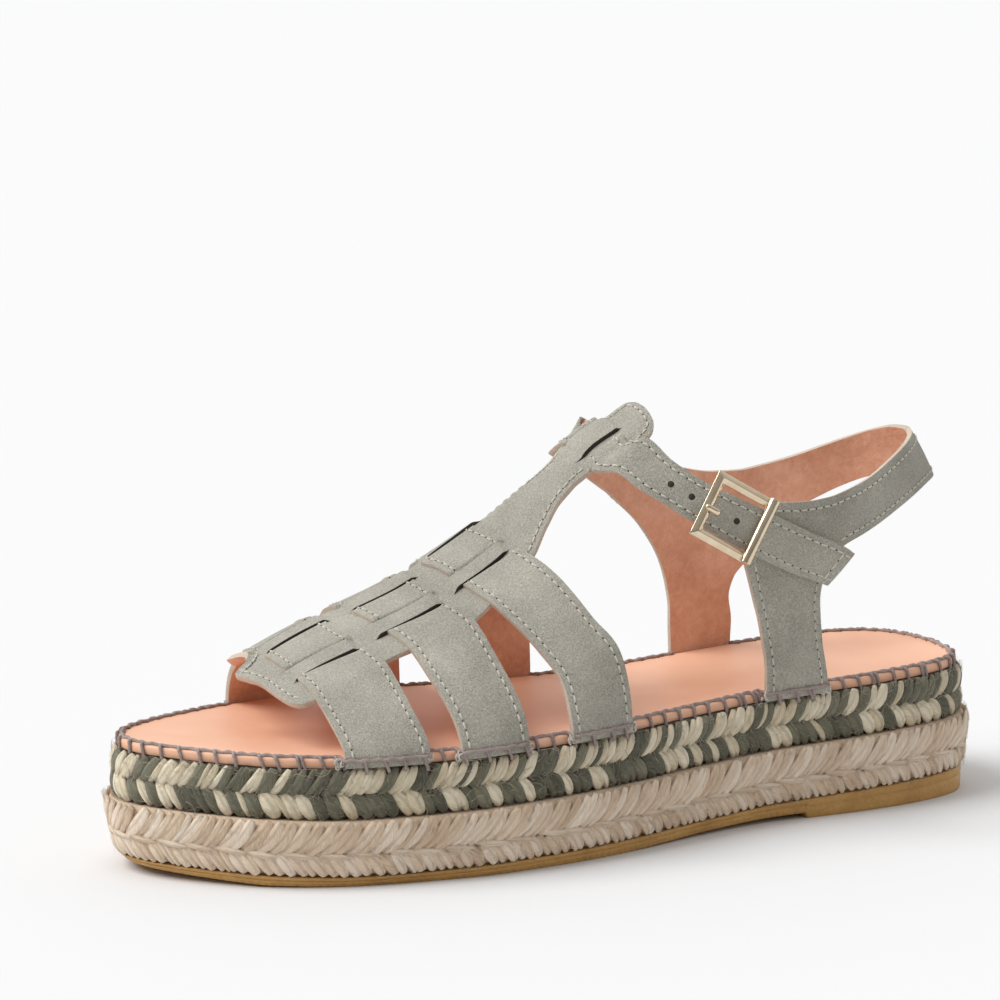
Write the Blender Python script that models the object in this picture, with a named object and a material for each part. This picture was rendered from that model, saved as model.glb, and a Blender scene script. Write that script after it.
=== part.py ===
"""Left strap sandal on a jute and rubber sole, built in metres with the toe to +X and +Z up.

The sole is four stacked layers that share one foot outline. The straps are one joined solid,
laid over the shape of the foot, and a square buckle sits on the outer side of the ankle strap.
Sizes are in millimetres, in a frame whose x starts at the back of the insole, whose y grows to the
outer side and whose z starts at the floor; the finished parts are moved to their base centre.
Tables hold shares of the named sizes: places along the foot as shares of the insole's length,
side positions as shares of the ball width, strap heights as shares of the strap height.
"""

import math

import bmesh
import bpy
import numpy as np

MM = 0.001
MERGE_DISTANCE = 0.000002

# Main sizes
INSOLE_LENGTH = 250.0
BALL_WIDTH = 88.0
STRAP_HEIGHT = 78.0
HEEL_RAISE = 4.8

# Layers of the sole, at the ball of the foot
RUBBER_HEIGHT = 2.9
JUTE_HEIGHT = 15.2
BRAID_HEIGHT = 13.4
INSOLE_THICKNESS = 2.6
SOLE_OVERHANG = 5.2
HEEL_BLOCK_LENGTH = 60.5
HEEL_STEP_SLOPE = 0.4
ARCH_STEP = 1.6
TOE_SPRING = 2.3
RUBBER_GROOVE = 0.3
INSOLE_ROUNDING = 0.35

# Straps
STRAP_THICKNESS = 1.8
WEAVE_LEVEL = 0.6
SLIT_EASE = 0.3

# Clearances between pieces
GAP = 0.3
EDGE_GAP = 0.4

# Braid and jute relief
BRAID_STRANDS = 108
BRAID_RELIEF = 0.55
BRAID_BULGE = 1.0
BRAID_SLANT = 4.2
JUTE_STRANDS = 80
JUTE_RELIEF = 0.3
JUTE_BULGE = 1.0
JUTE_SLANT = 3.0

# Buckle
BUCKLE_SIDE = 19.6
BUCKLE_BAR = 2.3
BUCKLE_THICKNESS = 1.7
BUCKLE_CHAMFER = 0.6
BUCKLE_LIFT = 0.35
ROLLER_WIDTH = 3.1
ROLLER_THICKNESS = 3.0
ROLLER_OVERHANG = 0.2
ROLLER_RAISE = 0.2
ROLLER_INSET = 0.5
PRONG_WIDTH = 1.9
PRONG_THICKNESS = 1.3
PRONG_OFFSET = -1.2

# Foot outline: place, half width to the outer side, half width to the inner side
OUTLINE = (
    (0.0, 0.0, 0.0),
    (0.015, 0.211, 0.205),
    (0.045, 0.286, 0.288),
    (0.1, 0.325, 0.334),
    (0.18, 0.34, 0.348),
    (0.28, 0.332, 0.332),
    (0.38, 0.372, 0.314),
    (0.48, 0.443, 0.337),
    (0.57, 0.49, 0.391),
    (0.66, 0.505, 0.459),
    (0.74, 0.478, 0.493),
    (0.82, 0.424, 0.466),
    (0.89, 0.327, 0.389),
    (0.945, 0.195, 0.299),
    (0.98, 0.078, 0.215),
    (1.0, -0.072, 0.072),
)

# Rise of the insole's top: place, share of the heel raise
INSOLE_TOP = (
    (0.0, 1.0),
    (0.2, 0.687),
    (0.4, 0.312),
    (0.6, 0.125),
    (0.8, 0.0),
    (1.0, 0.396),
)

# Lift of the rubber's underside between the heel block and the toe: place, arch share, spring share
TREAD = (
    (0.24, 1.0, 0.0),
    (0.34, 0.8, 0.0),
    (0.50, 0.0, 0.0),
    (0.82, 0.0, 0.0),
    (0.90, 0.0, 0.22),
    (1.00, 0.0, 1.0),
)

# How far each layer's edge stands out past the insole: place, bottom, top, as shares of the overhang
RUBBER_EDGE = (
    (0.0, 0.35, 0.42),
    (0.12, 0.62, 0.67),
    (0.5, 0.63, 0.69),
    (0.9, 0.42, 0.62),
    (1.0, -0.27, 0.17),
)
JUTE_EDGE = (
    (0.0, 0.46, 0.75),
    (0.12, 0.69, 0.92),
    (0.5, 0.75, 1.0),
    (0.9, 0.65, 0.96),
    (1.0, 0.21, 0.77),
)
BRAID_EDGE = (
    (0.0, 0.19, 0.17),
    (0.12, 0.31, 0.25),
    (0.5, 0.37, 0.29),
    (0.9, 0.33, 0.25),
    (1.0, 0.21, 0.17),
)

# Rows up a layer's side: share of its height, share of its bulge, share of its relief
RUBBER_ROWS = (
    (0.00, -1.5, 0.0),
    (0.14, 0.0, 0.0),
    (0.55, 0.0, 0.0),
    (0.60, -1.0, 0.0),
    (0.65, 0.0, 0.0),
    (1.00, 0.0, 0.0),
)
INSOLE_ROWS = ((0.0, 0.0, 0.0), (0.7, 0.0, 0.0), (1.0, -1.0, 0.0))
INSOLE_EDGE = ((0.0, 0.0, 0.0), (1.0, 0.0, 0.0))
BRAID_ROWS = (
    (0.00, -0.4, 0.0),
    (0.12, 0.8, 1.0),
    (0.38, 0.8, 1.0),
    (0.50, 0.0, 0.0),
    (0.62, 0.7, -1.0),
    (0.88, 0.6, -1.0),
    (1.00, -0.3, 0.0),
)
JUTE_ROWS = (
    (0.00, -0.6, 0.0),
    (0.16, 0.5, 1.0),
    (0.42, -0.5, 0.0),
    (0.55, 0.5, -1.0),
    (0.88, 0.6, -1.0),
    (1.00, -0.5, 0.0),
)

# Top line of the foot under the straps: place, height over the insole, side position,
# and how square the cross section is
RIDGE = (
    (0.34, 1.064, -0.045, 2.0),
    (0.38, 1.032, -0.045, 2.0),
    (0.42, 0.964, -0.057, 2.0),
    (0.448, 0.917, -0.068, 2.0),
    (0.48, 0.827, -0.08, 1.7),
    (0.52, 0.737, -0.085, 1.45),
    (0.56, 0.647, -0.102, 1.4),
    (0.6, 0.571, -0.114, 1.4),
    (0.64, 0.506, -0.114, 1.4),
    (0.68, 0.449, -0.114, 1.4),
    (0.72, 0.404, -0.114, 1.4),
    (0.76, 0.359, -0.114, 1.4),
    (0.8, 0.31, -0.108, 1.4),
    (0.84, 0.25, -0.102, 1.4),
    (0.88, 0.186, -0.091, 1.4),
    (0.912, 0.128, -0.091, 1.4),
)

# Cross straps: share of the way from the top line to the outline (inner side negative),
# place of the rear edge, place of the front edge
FRONT_STRAP = (
    (-1.0, 0.728, 0.814),
    (-0.75, 0.736, 0.824),
    (-0.45, 0.752, 0.8344),
    (-0.1, 0.762, 0.8372),
    (0.15, 0.76, 0.8328),
    (0.45, 0.7472, 0.828),
    (0.62, 0.7408, 0.8256),
    (0.85, 0.74, 0.8256),
    (1.0, 0.734, 0.8236),
)
MIDDLE_STRAP = (
    (-1.0, 0.6072, 0.694),
    (-0.75, 0.624, 0.712),
    (-0.45, 0.648, 0.732),
    (0.0, 0.662, 0.738),
    (0.15, 0.6548, 0.7288),
    (0.35, 0.6464, 0.72),
    (0.58, 0.632, 0.7088),
    (0.78, 0.6288, 0.7056),
    (1.0, 0.6192, 0.6988),
)
REAR_STRAP = (
    (-1.0, 0.4588, 0.544),
    (-0.75, 0.488, 0.584),
    (-0.4, 0.55, 0.626),
    (0.0, 0.572, 0.636),
    (0.15, 0.566, 0.6288),
    (0.35, 0.552, 0.62),
    (0.57, 0.5332, 0.6024),
    (0.8, 0.512, 0.5812),
    (0.93, 0.4896, 0.5664),
    (1.0, 0.4832, 0.564),
)

# Where a cross strap runs over (1) and under (-1) the spine: side position, level
FRONT_WEAVE = (
    (-0.2727, 0.5),
    (-0.2386, 1.0),
    (-0.1432, 1.0),
    (-0.125, -1.0),
    (-0.0727, -1.0),
    (-0.0545, 1.0),
    (0.0727, 1.0),
    (0.0909, -1.0),
    (0.1341, -1.0),
    (0.1523, 1.0),
    (0.2386, 1.0),
    (0.2841, 0.5),
)
MIDDLE_WEAVE = (
    (-0.25, 0.5),
    (-0.2102, 1.0),
    (-0.1273, 1.0),
    (-0.1114, -1.0),
    (-0.0557, -1.0),
    (-0.0386, 1.0),
    (0.0568, 1.0),
    (0.0739, -1.0),
    (0.1205, -1.0),
    (0.1364, 1.0),
    (0.233, 1.0),
    (0.2727, 0.5),
)
REAR_WEAVE = (
    (-0.2386, 0.5),
    (-0.1932, 1.0),
    (-0.1705, 1.0),
    (-0.1545, -1.0),
    (-0.1182, -1.0),
    (-0.1023, 1.0),
    (0.0318, 1.0),
    (0.0489, -1.0),
    (0.0864, -1.0),
    (0.1023, 1.0),
    (0.1932, 1.0),
    (0.2386, 0.5),
)

# Spine with its stem and head: place, inner edge, inner bridge from and to, outer bridge from
# and to, outer edge, level of the bridges, level of the centre
SPINE = (
    (0.834, -0.2841, -0.125, -0.0602, 0.0818, 0.1455, 0.2477, 0.0, 0.0),
    (0.826, -0.2875, -0.125, -0.0636, 0.0818, 0.1443, 0.2534, 1.0, 0.0),
    (0.792, -0.267, -0.1273, -0.0682, 0.0807, 0.142, 0.2477, 1.0, 0.0),
    (0.762, -0.2364, -0.1284, -0.0682, 0.0795, 0.1409, 0.2375, 1.0, 0.0),
    (0.7532, -0.2273, -0.1273, -0.0659, 0.0773, 0.1386, 0.2341, 0.0, 0.0),
    (0.734, -0.2193, -0.1205, -0.0523, 0.0705, 0.1341, 0.2295, 0.0, 0.0),
    (0.726, -0.2182, -0.1182, -0.0477, 0.0682, 0.1318, 0.2284, 1.0, 0.0),
    (0.688, -0.2148, -0.1159, -0.0455, 0.0659, 0.1273, 0.2318, 1.0, 0.0),
    (0.658, -0.2125, -0.117, -0.0477, 0.0614, 0.1227, 0.2375, 1.0, 0.0),
    (0.648, -0.2102, -0.1227, -0.0568, 0.0568, 0.1182, 0.2375, 0.0, 0.0),
    (0.636, -0.208, -0.1364, -0.0841, 0.05, 0.1114, 0.2352, 0.0, 0.0),
    (0.626, -0.2057, -0.1523, -0.1045, 0.0455, 0.1023, 0.2273, 1.0, 0.0),
    (0.596, -0.1977, -0.1602, -0.1114, 0.0398, 0.0955, 0.1977, 1.0, 0.0),
    (0.57, -0.1864, -0.1545, -0.1114, 0.0341, 0.0886, 0.175, 1.0, 0.0),
    (0.56, -0.1795, -0.1455, -0.1068, 0.0295, 0.0818, 0.1659, 0.0, 0.0),
    (0.5432, -0.15, -0.125, -0.0909, 0.0227, 0.0682, 0.1477, 0.0, 0.0),
    (0.52, -0.1182, -0.0977, -0.0659, 0.017, 0.0568, 0.1045, 0.0, 0.0),
    (0.496, -0.1011, -0.0795, -0.0523, 0.0148, 0.0432, 0.0727, 0.0, 0.0),
    (0.48, -0.0989, -0.0795, -0.0523, 0.0148, 0.0432, 0.0705, 0.0, 0.0),
    (0.4704, -0.1045, -0.0841, -0.0545, 0.0205, 0.05, 0.0818, 0.0, 0.0),
    (0.4624, -0.1091, -0.0886, -0.0614, 0.0386, 0.0614, 0.0932, 0.0, 0.4),
    (0.4576, -0.1068, -0.0886, -0.0636, 0.0455, 0.0659, 0.0932, 0.0, 1.0),
    (0.4256, -0.0909, -0.0773, -0.0545, 0.0477, 0.0727, 0.1023, 0.0, 1.0),
    (0.4196, -0.075, -0.0636, -0.0455, 0.0477, 0.0773, 0.1205, 0.0, 1.0),
    (0.416, -0.0636, -0.0523, -0.0364, 0.0477, 0.0795, 0.1341, 0.0, 0.3),
    (0.4128, -0.0557, -0.0455, -0.0318, 0.0477, 0.0795, 0.1352, 0.0, 0.0),
    (0.4008, -0.0557, -0.0432, -0.0273, 0.0477, 0.0773, 0.1318, 0.0, 0.0),
    (0.3904, -0.0511, -0.0386, -0.0227, 0.0477, 0.075, 0.1227, 0.0, 0.0),
    (0.3856, -0.0307, -0.0216, -0.0068, 0.0477, 0.0705, 0.1102, 0.0, 0.0),
    (0.3828, -0.0045, 0.0045, 0.0159, 0.0477, 0.0659, 0.0955, 0.0, 0.0),
)

# Margins of the head beside the slots: front and rear place, inner and outer end
HEAD_MARGIN = (0.464, 0.424, -0.175, 0.176)

# Shaped front end of the spine: side position, place
SPINE_FRONT = (
    (-0.2955, 0.8356),
    (-0.2273, 0.8392),
    (-0.1364, 0.84),
    (-0.0909, 0.8496),
    (-0.0568, 0.8692),
    (-0.017, 0.8656),
    (0.0568, 0.8584),
    (0.125, 0.856),
    (0.2045, 0.8504),
    (0.2386, 0.8432),
    (0.25, 0.8368),
)

# Ankle band round the heel, from the outer side to the inner side: place, side position and
# height of its top edge, then of its bottom edge
HEEL_BAND = (
    (0.29, 0.3659, 0.6603, 0.32, 0.3636, 0.45),
    (0.264, 0.3636, 0.6526, 0.272, 0.3682, 0.4372),
    (0.2432, 0.3614, 0.6487, 0.23, 0.3705, 0.45),
    (0.206, 0.3432, 0.6538, 0.204, 0.3682, 0.4654),
    (0.184, 0.325, 0.6654, 0.182, 0.3591, 0.491),
    (0.146, 0.2784, 0.6885, 0.144, 0.3114, 0.5192),
    (0.102, 0.2136, 0.7346, 0.0964, 0.2455, 0.5654),
    (0.058, 0.125, 0.7821, 0.0396, 0.1386, 0.6141),
    (0.034, 0.0341, 0.8013, 0.0056, 0.0341, 0.6346),
    (0.0256, -0.0341, 0.8051, 0.0032, -0.0398, 0.6372),
    (0.0272, -0.1023, 0.8, 0.0128, -0.1136, 0.6269),
    (0.04, -0.1705, 0.7795, 0.0376, -0.1875, 0.6013),
    (0.064, -0.2341, 0.7449, 0.0664, -0.2545, 0.5577),
    (0.092, -0.2795, 0.709, 0.092, -0.2955, 0.5141),
    (0.122, -0.3136, 0.6756, 0.12, -0.3227, 0.4705),
    (0.1576, -0.3341, 0.65, 0.16, -0.3364, 0.4423),
    (0.188, -0.3409, 0.6372, 0.2, -0.3432, 0.4372),
    (0.2212, -0.3432, 0.641, 0.24, -0.3432, 0.45),
    (0.264, -0.3364, 0.6679, 0.28, -0.3386, 0.4705),
    (0.308, -0.3205, 0.7192, 0.322, -0.3205, 0.5141),
    (0.352, -0.2909, 0.7885, 0.3656, -0.2886, 0.5987),
    (0.392, -0.2432, 0.8628, 0.408, -0.2409, 0.6885),
    (0.4184, -0.2045, 0.9141, 0.4416, -0.2045, 0.7654),
)

# Threading of the ankle band through the head: side position, level over the head
HEAD_THREAD = (
    (-0.1636, 1.5),
    (-0.1193, 1.0),
    (-0.0864, 1.0),
    (-0.0716, -1.0),
    (-0.0455, -1.0),
    (-0.017, -1.0),
    (0.0114, -1.0),
    (0.0364, -1.0),
    (0.058, -1.0),
    (0.0727, 1.0),
    (0.1136, 1.0),
)
HEAD_REAR = 0.4188
HEAD_FRONT = 0.4604

# Ankle strap from the head down to its free end, in the same columns
ANKLE_STRAP = (
    (0.4088, 0.1648, 0.8936, 0.4496, 0.1648, 0.7833),
    (0.3872, 0.2477, 0.8141, 0.4284, 0.2341, 0.7256),
    (0.3592, 0.3136, 0.7423, 0.4008, 0.2886, 0.6603),
    (0.346, 0.3386, 0.7179, 0.3852, 0.3205, 0.6218),
    (0.302, 0.3841, 0.6423, 0.3316, 0.3795, 0.5103),
    (0.2884, 0.3932, 0.6179, 0.3148, 0.3909, 0.4808),
    (0.2412, 0.4045, 0.541, 0.2724, 0.4045, 0.4115),
    (0.1988, 0.4114, 0.4756, 0.234, 0.4114, 0.3615),
    (0.19, 0.4125, 0.4538, 0.2252, 0.4125, 0.3487),
)

# Side stays from the band to the sole: place, side position and height of the front edge,
# then of the rear edge
OUTER_STAY = (
    (0.3132, 0.3636, 0.3731, 0.2144, 0.3693, 0.4051),
    (0.3084, 0.3636, 0.3154, 0.222, 0.3659, 0.3474),
    (0.3024, 0.3648, 0.2449, 0.2244, 0.3636, 0.2885),
    (0.298, 0.3659, 0.1692, 0.222, 0.3648, 0.1449),
    (0.2936, 0.367, 0.0782, 0.2176, 0.367, 0.0526),
)
INNER_STAY = (
    (0.3224, -0.325, 0.4731, 0.1504, -0.3386, 0.3859),
    (0.292, -0.3432, 0.3256, 0.18, -0.3443, 0.2872),
    (0.2824, -0.35, 0.2321, 0.1944, -0.3477, 0.2372),
    (0.2776, -0.3545, 0.1423, 0.2004, -0.3523, 0.1679),
    (0.2768, -0.3591, 0.0654, 0.196, -0.3591, 0.0782),
)
OUTER_ROOT = (0.198, 0.35)
INNER_ROOT = (0.116, 0.372)
OUTER_FOOT = (0.2916, 0.214)
INNER_FOOT = (0.2764, 0.1952)

# Place of the buckle's underside on the strap, and the directions of the strap and of the bars
BUCKLE_CENTRE = (0.3392, 0.3784, 0.6205)
BUCKLE_ALONG = (-16.6, 3.6, -10.2)
BUCKLE_ACROSS = (-10.9, -1.2, 15.8)


SOLE_HEIGHT = RUBBER_HEIGHT + JUTE_HEIGHT + BRAID_HEIGHT + INSOLE_THICKNESS


def smooth_value(at, places, values):
    """Read a smooth curve through table values that never swings past them."""
    places = np.asarray(places, dtype=float)
    values = np.asarray(values, dtype=float)
    at = np.clip(np.asarray(at, dtype=float), places[0], places[-1])
    widths = np.diff(places)
    slopes = np.diff(values) / widths
    inner = np.zeros(len(slopes) - 1)
    same_way = slopes[:-1] * slopes[1:] > 0.0
    first_weight = 2.0 * widths[1:] + widths[:-1]
    second_weight = widths[1:] + 2.0 * widths[:-1]
    inner[same_way] = ((first_weight + second_weight)[same_way]) / (
        first_weight[same_way] / slopes[:-1][same_way] + second_weight[same_way] / slopes[1:][same_way]
    )
    tangents = np.concatenate([[slopes[0]], inner, [slopes[-1]]])
    span = np.clip(np.searchsorted(places, at, side="right") - 1, 0, len(widths) - 1)
    share = (at - places[span]) / widths[span]
    rise = share * share * (3.0 - 2.0 * share)
    return (
        values[span] * (1.0 - rise)
        + values[span + 1] * rise
        + tangents[span] * widths[span] * share * (1.0 - share) ** 2
        - tangents[span + 1] * widths[span] * share**2 * (1.0 - share)
    )


def column(table, index):
    """One named column of a table."""
    return [row[index] for row in table]


def half_width(share, side):
    """Half width of the foot outline; side 1 is the table's outer column and 2 the inner."""
    turn = np.arccos(1.0 - 2.0 * np.clip(share, 0.0, 1.0)) / math.pi
    places = np.arccos(1.0 - 2.0 * np.array(column(OUTLINE, 0))) / math.pi
    return smooth_value(turn, places, column(OUTLINE, side)) * BALL_WIDTH


def edge_reach(x, side):
    """Side position of a strap's outer face where it passes the insole's edge."""
    share = np.asarray(x) / INSOLE_LENGTH
    step = 0.002
    rise = half_width(share + step, side) - half_width(share - step, side)
    slope = rise / (2.0 * step * INSOLE_LENGTH)
    return half_width(share, side) + (EDGE_GAP + STRAP_THICKNESS) * np.sqrt(1.0 + slope**2)


def insole_height(x):
    """Height of the insole's top at a distance from the heel."""
    raise_share = smooth_value(np.asarray(x) / INSOLE_LENGTH, column(INSOLE_TOP, 0), column(INSOLE_TOP, 1))
    return SOLE_HEIGHT + raise_share * HEEL_RAISE


def tread_height(x):
    """Height of the rubber's underside."""
    share = np.asarray(x) / INSOLE_LENGTH
    arch = np.interp(share, column(TREAD, 0), column(TREAD, 1)) * ARCH_STEP
    spring = np.interp(share, column(TREAD, 0), column(TREAD, 2)) * TOE_SPRING
    step = np.clip((np.asarray(x) - HEEL_BLOCK_LENGTH) / HEEL_STEP_SLOPE, 0.0, 1.0)
    return arch * step + spring


def outline_curve(stand_out):
    """Closed foot outline from the heel round the outer side, moved outwards by a table of shares."""
    turn = np.linspace(0.0, math.pi, 500)
    share = (1.0 - np.cos(turn)) / 2.0
    outer = np.stack([share * INSOLE_LENGTH, half_width(share, 1)], axis=1)
    inner = np.stack([share * INSOLE_LENGTH, -half_width(share, 2)], axis=1)
    loop = np.vstack([outer, inner[-2:0:-1]])
    ahead = np.roll(loop, -1, axis=0) - np.roll(loop, 1, axis=0)
    ahead = ahead / np.linalg.norm(ahead, axis=1)[:, None]
    outwards = np.stack([-ahead[:, 1], ahead[:, 0]], axis=1)
    away = np.interp(loop[:, 0] / INSOLE_LENGTH, column(stand_out, 0), column(stand_out, 1))
    return loop + outwards * (away * SOLE_OVERHANG)[:, None]


def walk_loop(loop, shares):
    """Points at shares of the way round a closed curve."""
    closed = np.vstack([loop, loop[:1]])
    steps = np.linalg.norm(np.diff(closed, axis=0), axis=1)
    way = np.concatenate([[0.0], np.cumsum(steps)])
    at = (np.asarray(shares) % 1.0) * way[-1]
    return np.stack([np.interp(at, way, closed[:, 0]), np.interp(at, way, closed[:, 1])], axis=1)


def add_object(name, vertices, faces):
    """Make a named object from points in millimetres."""
    mesh = bpy.data.meshes.new(name)
    mesh.from_pydata([tuple(float(value) * MM for value in vertex) for vertex in vertices], [], faces)
    mesh.validate()
    part = bpy.data.objects.new(name, mesh)
    bpy.context.collection.objects.link(part)
    shape = bmesh.new()
    shape.from_mesh(mesh)
    bmesh.ops.recalc_face_normals(shape, faces=shape.faces)
    shape.to_mesh(mesh)
    shape.free()
    return part


def sole_layer(name, columns, rows, edge, bottom, top, bulge=0.0, relief=0.0, slant=0.0):
    """Stack outline rings into one closed layer, with strands where relief and slant are given."""
    count = len(columns)
    low = outline_curve([(row[0], row[1]) for row in edge])
    high = outline_curve([(row[0], row[2]) for row in edge])
    middle = outline_curve([(0.0, 0.0), (1.0, 0.0)])
    reach = np.linalg.norm(np.diff(np.vstack([middle, middle[:1]]), axis=0), axis=1).sum()
    up_down = np.where(np.arange(count) % 2 == 0, 1.0, -1.0)
    vertices = []
    for height, swell, strand in rows:
        shift = slant * (0.5 - abs(height - 0.5) * 2.0) / reach
        shares = np.asarray(columns) + shift
        ring = walk_loop(low, shares) * (1.0 - height) + walk_loop(high, shares) * height
        ahead = np.roll(ring, -1, axis=0) - np.roll(ring, 1, axis=0)
        ahead = ahead / np.linalg.norm(ahead, axis=1)[:, None]
        outwards = np.stack([-ahead[:, 1], ahead[:, 0]], axis=1)
        away = bulge * swell + relief * strand * up_down
        ring = ring + outwards * away[:, None]
        floor = bottom(ring[:, 0])
        level = floor + (top(ring[:, 0]) - floor) * height
        vertices.extend(np.column_stack([ring, level]).tolist())
    faces = []
    for row in range(len(rows) - 1):
        for step in range(count):
            after = (step + 1) % count
            start = row * count
            faces.append((start + step, start + after, start + count + after, start + count + step))
    last = (len(rows) - 1) * count
    for start in (0, last):
        for step in range(count // 2):
            across = (count - step) % count
            after = step + 1
            across_after = count - after
            corners = [start + step, start + after, start + across_after, start + across]
            faces.append(tuple(dict.fromkeys(corners)))
    return add_object(name, vertices, faces)


def even_columns(count):
    """Columns at even steps round the outline."""
    return np.arange(count) / count


def rubber_columns():
    """Columns for the rubber, evenly spread, with close pairs at the heel block's front face."""
    loop = outline_curve([(0.0, 0.0), (1.0, 0.0)])
    closed = np.vstack([loop, loop[:1]])
    way = np.concatenate([[0.0], np.cumsum(np.linalg.norm(np.diff(closed, axis=0), axis=1))])
    toe = int(np.argmax(loop[:, 0]))
    step = [HEEL_BLOCK_LENGTH, HEEL_BLOCK_LENGTH + HEEL_STEP_SLOPE]
    outer_step = np.interp(step, loop[: toe + 1, 0], way[: toe + 1])
    inner_step = np.interp(step, closed[toe:, 0][::-1], way[toe:][::-1])
    sides = []
    for start, (rear, front) in ((0.0, outer_step), (way[-1], inner_step)):
        heel = np.linspace(start, rear, 15)
        forefoot = np.linspace(front, way[toe], 38)
        sides.append(np.concatenate([heel, forefoot]))
    outer, inner = sides
    return np.concatenate([outer, inner[-2:0:-1]]) / way[-1]


def foot_height(x, y):
    """Height of the straps' outer face over the foot, flat on the insole's level at the outline."""
    share = np.asarray(x) / INSOLE_LENGTH
    crest = smooth_value(share, column(RIDGE, 0), column(RIDGE, 1)) * STRAP_HEIGHT
    side = smooth_value(share, column(RIDGE, 0), column(RIDGE, 2)) * BALL_WIDTH
    square = smooth_value(share, column(RIDGE, 0), column(RIDGE, 3))
    reach_outer = edge_reach(x, 1) - side
    reach_inner = side + edge_reach(x, 2)
    away = np.where(y > side, (y - side) / reach_outer, (side - y) / reach_inner)
    away = np.clip(away, 0.0, 1.0)
    return insole_height(x) + crest * (1.0 - away**square) ** (0.5 + 0.08 * (2.0 - square) / 0.6)


def foot_side(x, share):
    """Side position at a share of the way from the top line to the outline."""
    side = smooth_value(np.asarray(x) / INSOLE_LENGTH, column(RIDGE, 0), column(RIDGE, 2)) * BALL_WIDTH
    outer = edge_reach(x, 1)
    inner = -edge_reach(x, 2)
    return np.where(share > 0.0, side + (outer - side) * share, side - (inner - side) * share)


def foot_slope(x, y):
    """Outward direction of the foot surface."""
    step = 0.4
    along = (foot_height(x + step, y) - foot_height(x - step, y)) / (2.0 * step)
    across = (foot_height(x, y + step) - foot_height(x, y - step)) / (2.0 * step)
    direction = np.stack([-along, -across, np.ones_like(along)], axis=-1)
    return direction / np.linalg.norm(direction, axis=-1)[..., None]


def grid_faces(rows, columns, start=0):
    """Faces of a grid whose points are stored row by row."""
    faces = []
    for row in range(rows - 1):
        for step in range(columns - 1):
            first = start + row * columns + step
            faces.append((first, first + 1, first + columns + 1, first + columns))
    return faces


def thicken(name, sheet, faces, outward_hint):
    """Turn an outer sheet into a closed wall of the strap thickness."""
    shape = bmesh.new()
    outer = [shape.verts.new(tuple(float(value) for value in point)) for point in sheet]
    for face in faces:
        shape.faces.new([outer[index] for index in face])
    bmesh.ops.recalc_face_normals(shape, faces=shape.faces)
    shape.normal_update()
    face = shape.faces[:][0]
    if face.normal.dot(outward_hint) < 0.0:
        bmesh.ops.reverse_faces(shape, faces=shape.faces)
    shape.normal_update()
    inner = [shape.verts.new(vertex.co - vertex.normal * STRAP_THICKNESS) for vertex in outer]
    number = {vertex: index for index, vertex in enumerate(outer)}
    for face in list(shape.faces):
        shape.faces.new([inner[number[vertex]] for vertex in reversed(face.verts)])
    for edge in [edge for edge in shape.edges if len(edge.link_faces) == 1]:
        if edge.verts[0] not in number or edge.verts[1] not in number:
            continue
        first, second = (number[vertex] for vertex in edge.verts)
        shape.faces.new([outer[first], outer[second], inner[second], inner[first]])
    bmesh.ops.recalc_face_normals(shape, faces=shape.faces)
    bmesh.ops.scale(shape, vec=(MM, MM, MM), verts=shape.verts)
    mesh = bpy.data.meshes.new(name)
    shape.to_mesh(mesh)
    shape.free()
    part = bpy.data.objects.new(name, mesh)
    bpy.context.collection.objects.link(part)
    return part


def cross_strap(name, table, weave):
    """A strap over the foot from the inner edge of the sole to the outer edge."""
    sides = np.array(column(weave, 0)) * BALL_WIDTH
    middle = 0.5 * (np.array(column(table, 1)) + np.array(column(table, 2))) * INSOLE_LENGTH
    flat = np.linspace(-1.0, 1.0, 401)
    centre_x = smooth_value(flat, column(table, 0), middle)
    centre_y = foot_side(centre_x, flat)
    woven = np.interp(sides, centre_y, flat)
    ends = np.sin(np.linspace(0.0, math.pi / 2.0, 8)) ** 0.8
    shares = np.concatenate([-ends, ends, woven])
    shares = np.unique(np.round(shares, 4))
    keep = np.concatenate([[True], np.diff(shares) > 0.004])
    shares = shares[keep]
    shares[0] = -1.0
    shares[-1] = 1.0
    across = np.array([0.0, 0.5, 1.0])
    rear = smooth_value(shares, column(table, 0), column(table, 1)) * INSOLE_LENGTH
    front = smooth_value(shares, column(table, 0), column(table, 2)) * INSOLE_LENGTH
    x = rear[:, None] + (front - rear)[:, None] * across[None, :]
    y = foot_side(x, shares[:, None])
    z = foot_height(x, y)
    z[0] = insole_height(x[0])
    z[-1] = insole_height(x[-1])
    side_at = np.interp(shares, flat, centre_y)
    lift = np.interp(side_at, sides, column(weave, 1), left=0.0, right=0.0) * WEAVE_LEVEL
    points = np.stack([x, y, z], axis=-1)
    points[1:-1] += foot_slope(x[1:-1], y[1:-1]) * lift[1:-1, None, None]
    drop = np.array([0.0, 0.0, INSOLE_THICKNESS - GAP])
    points = np.concatenate([points[:1] - drop, points, points[-1:] - drop])
    faces = grid_faces(len(points), len(across))
    return thicken(name, points.reshape(-1, 3), faces, (0.0, -1.0, 0.0))


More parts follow.
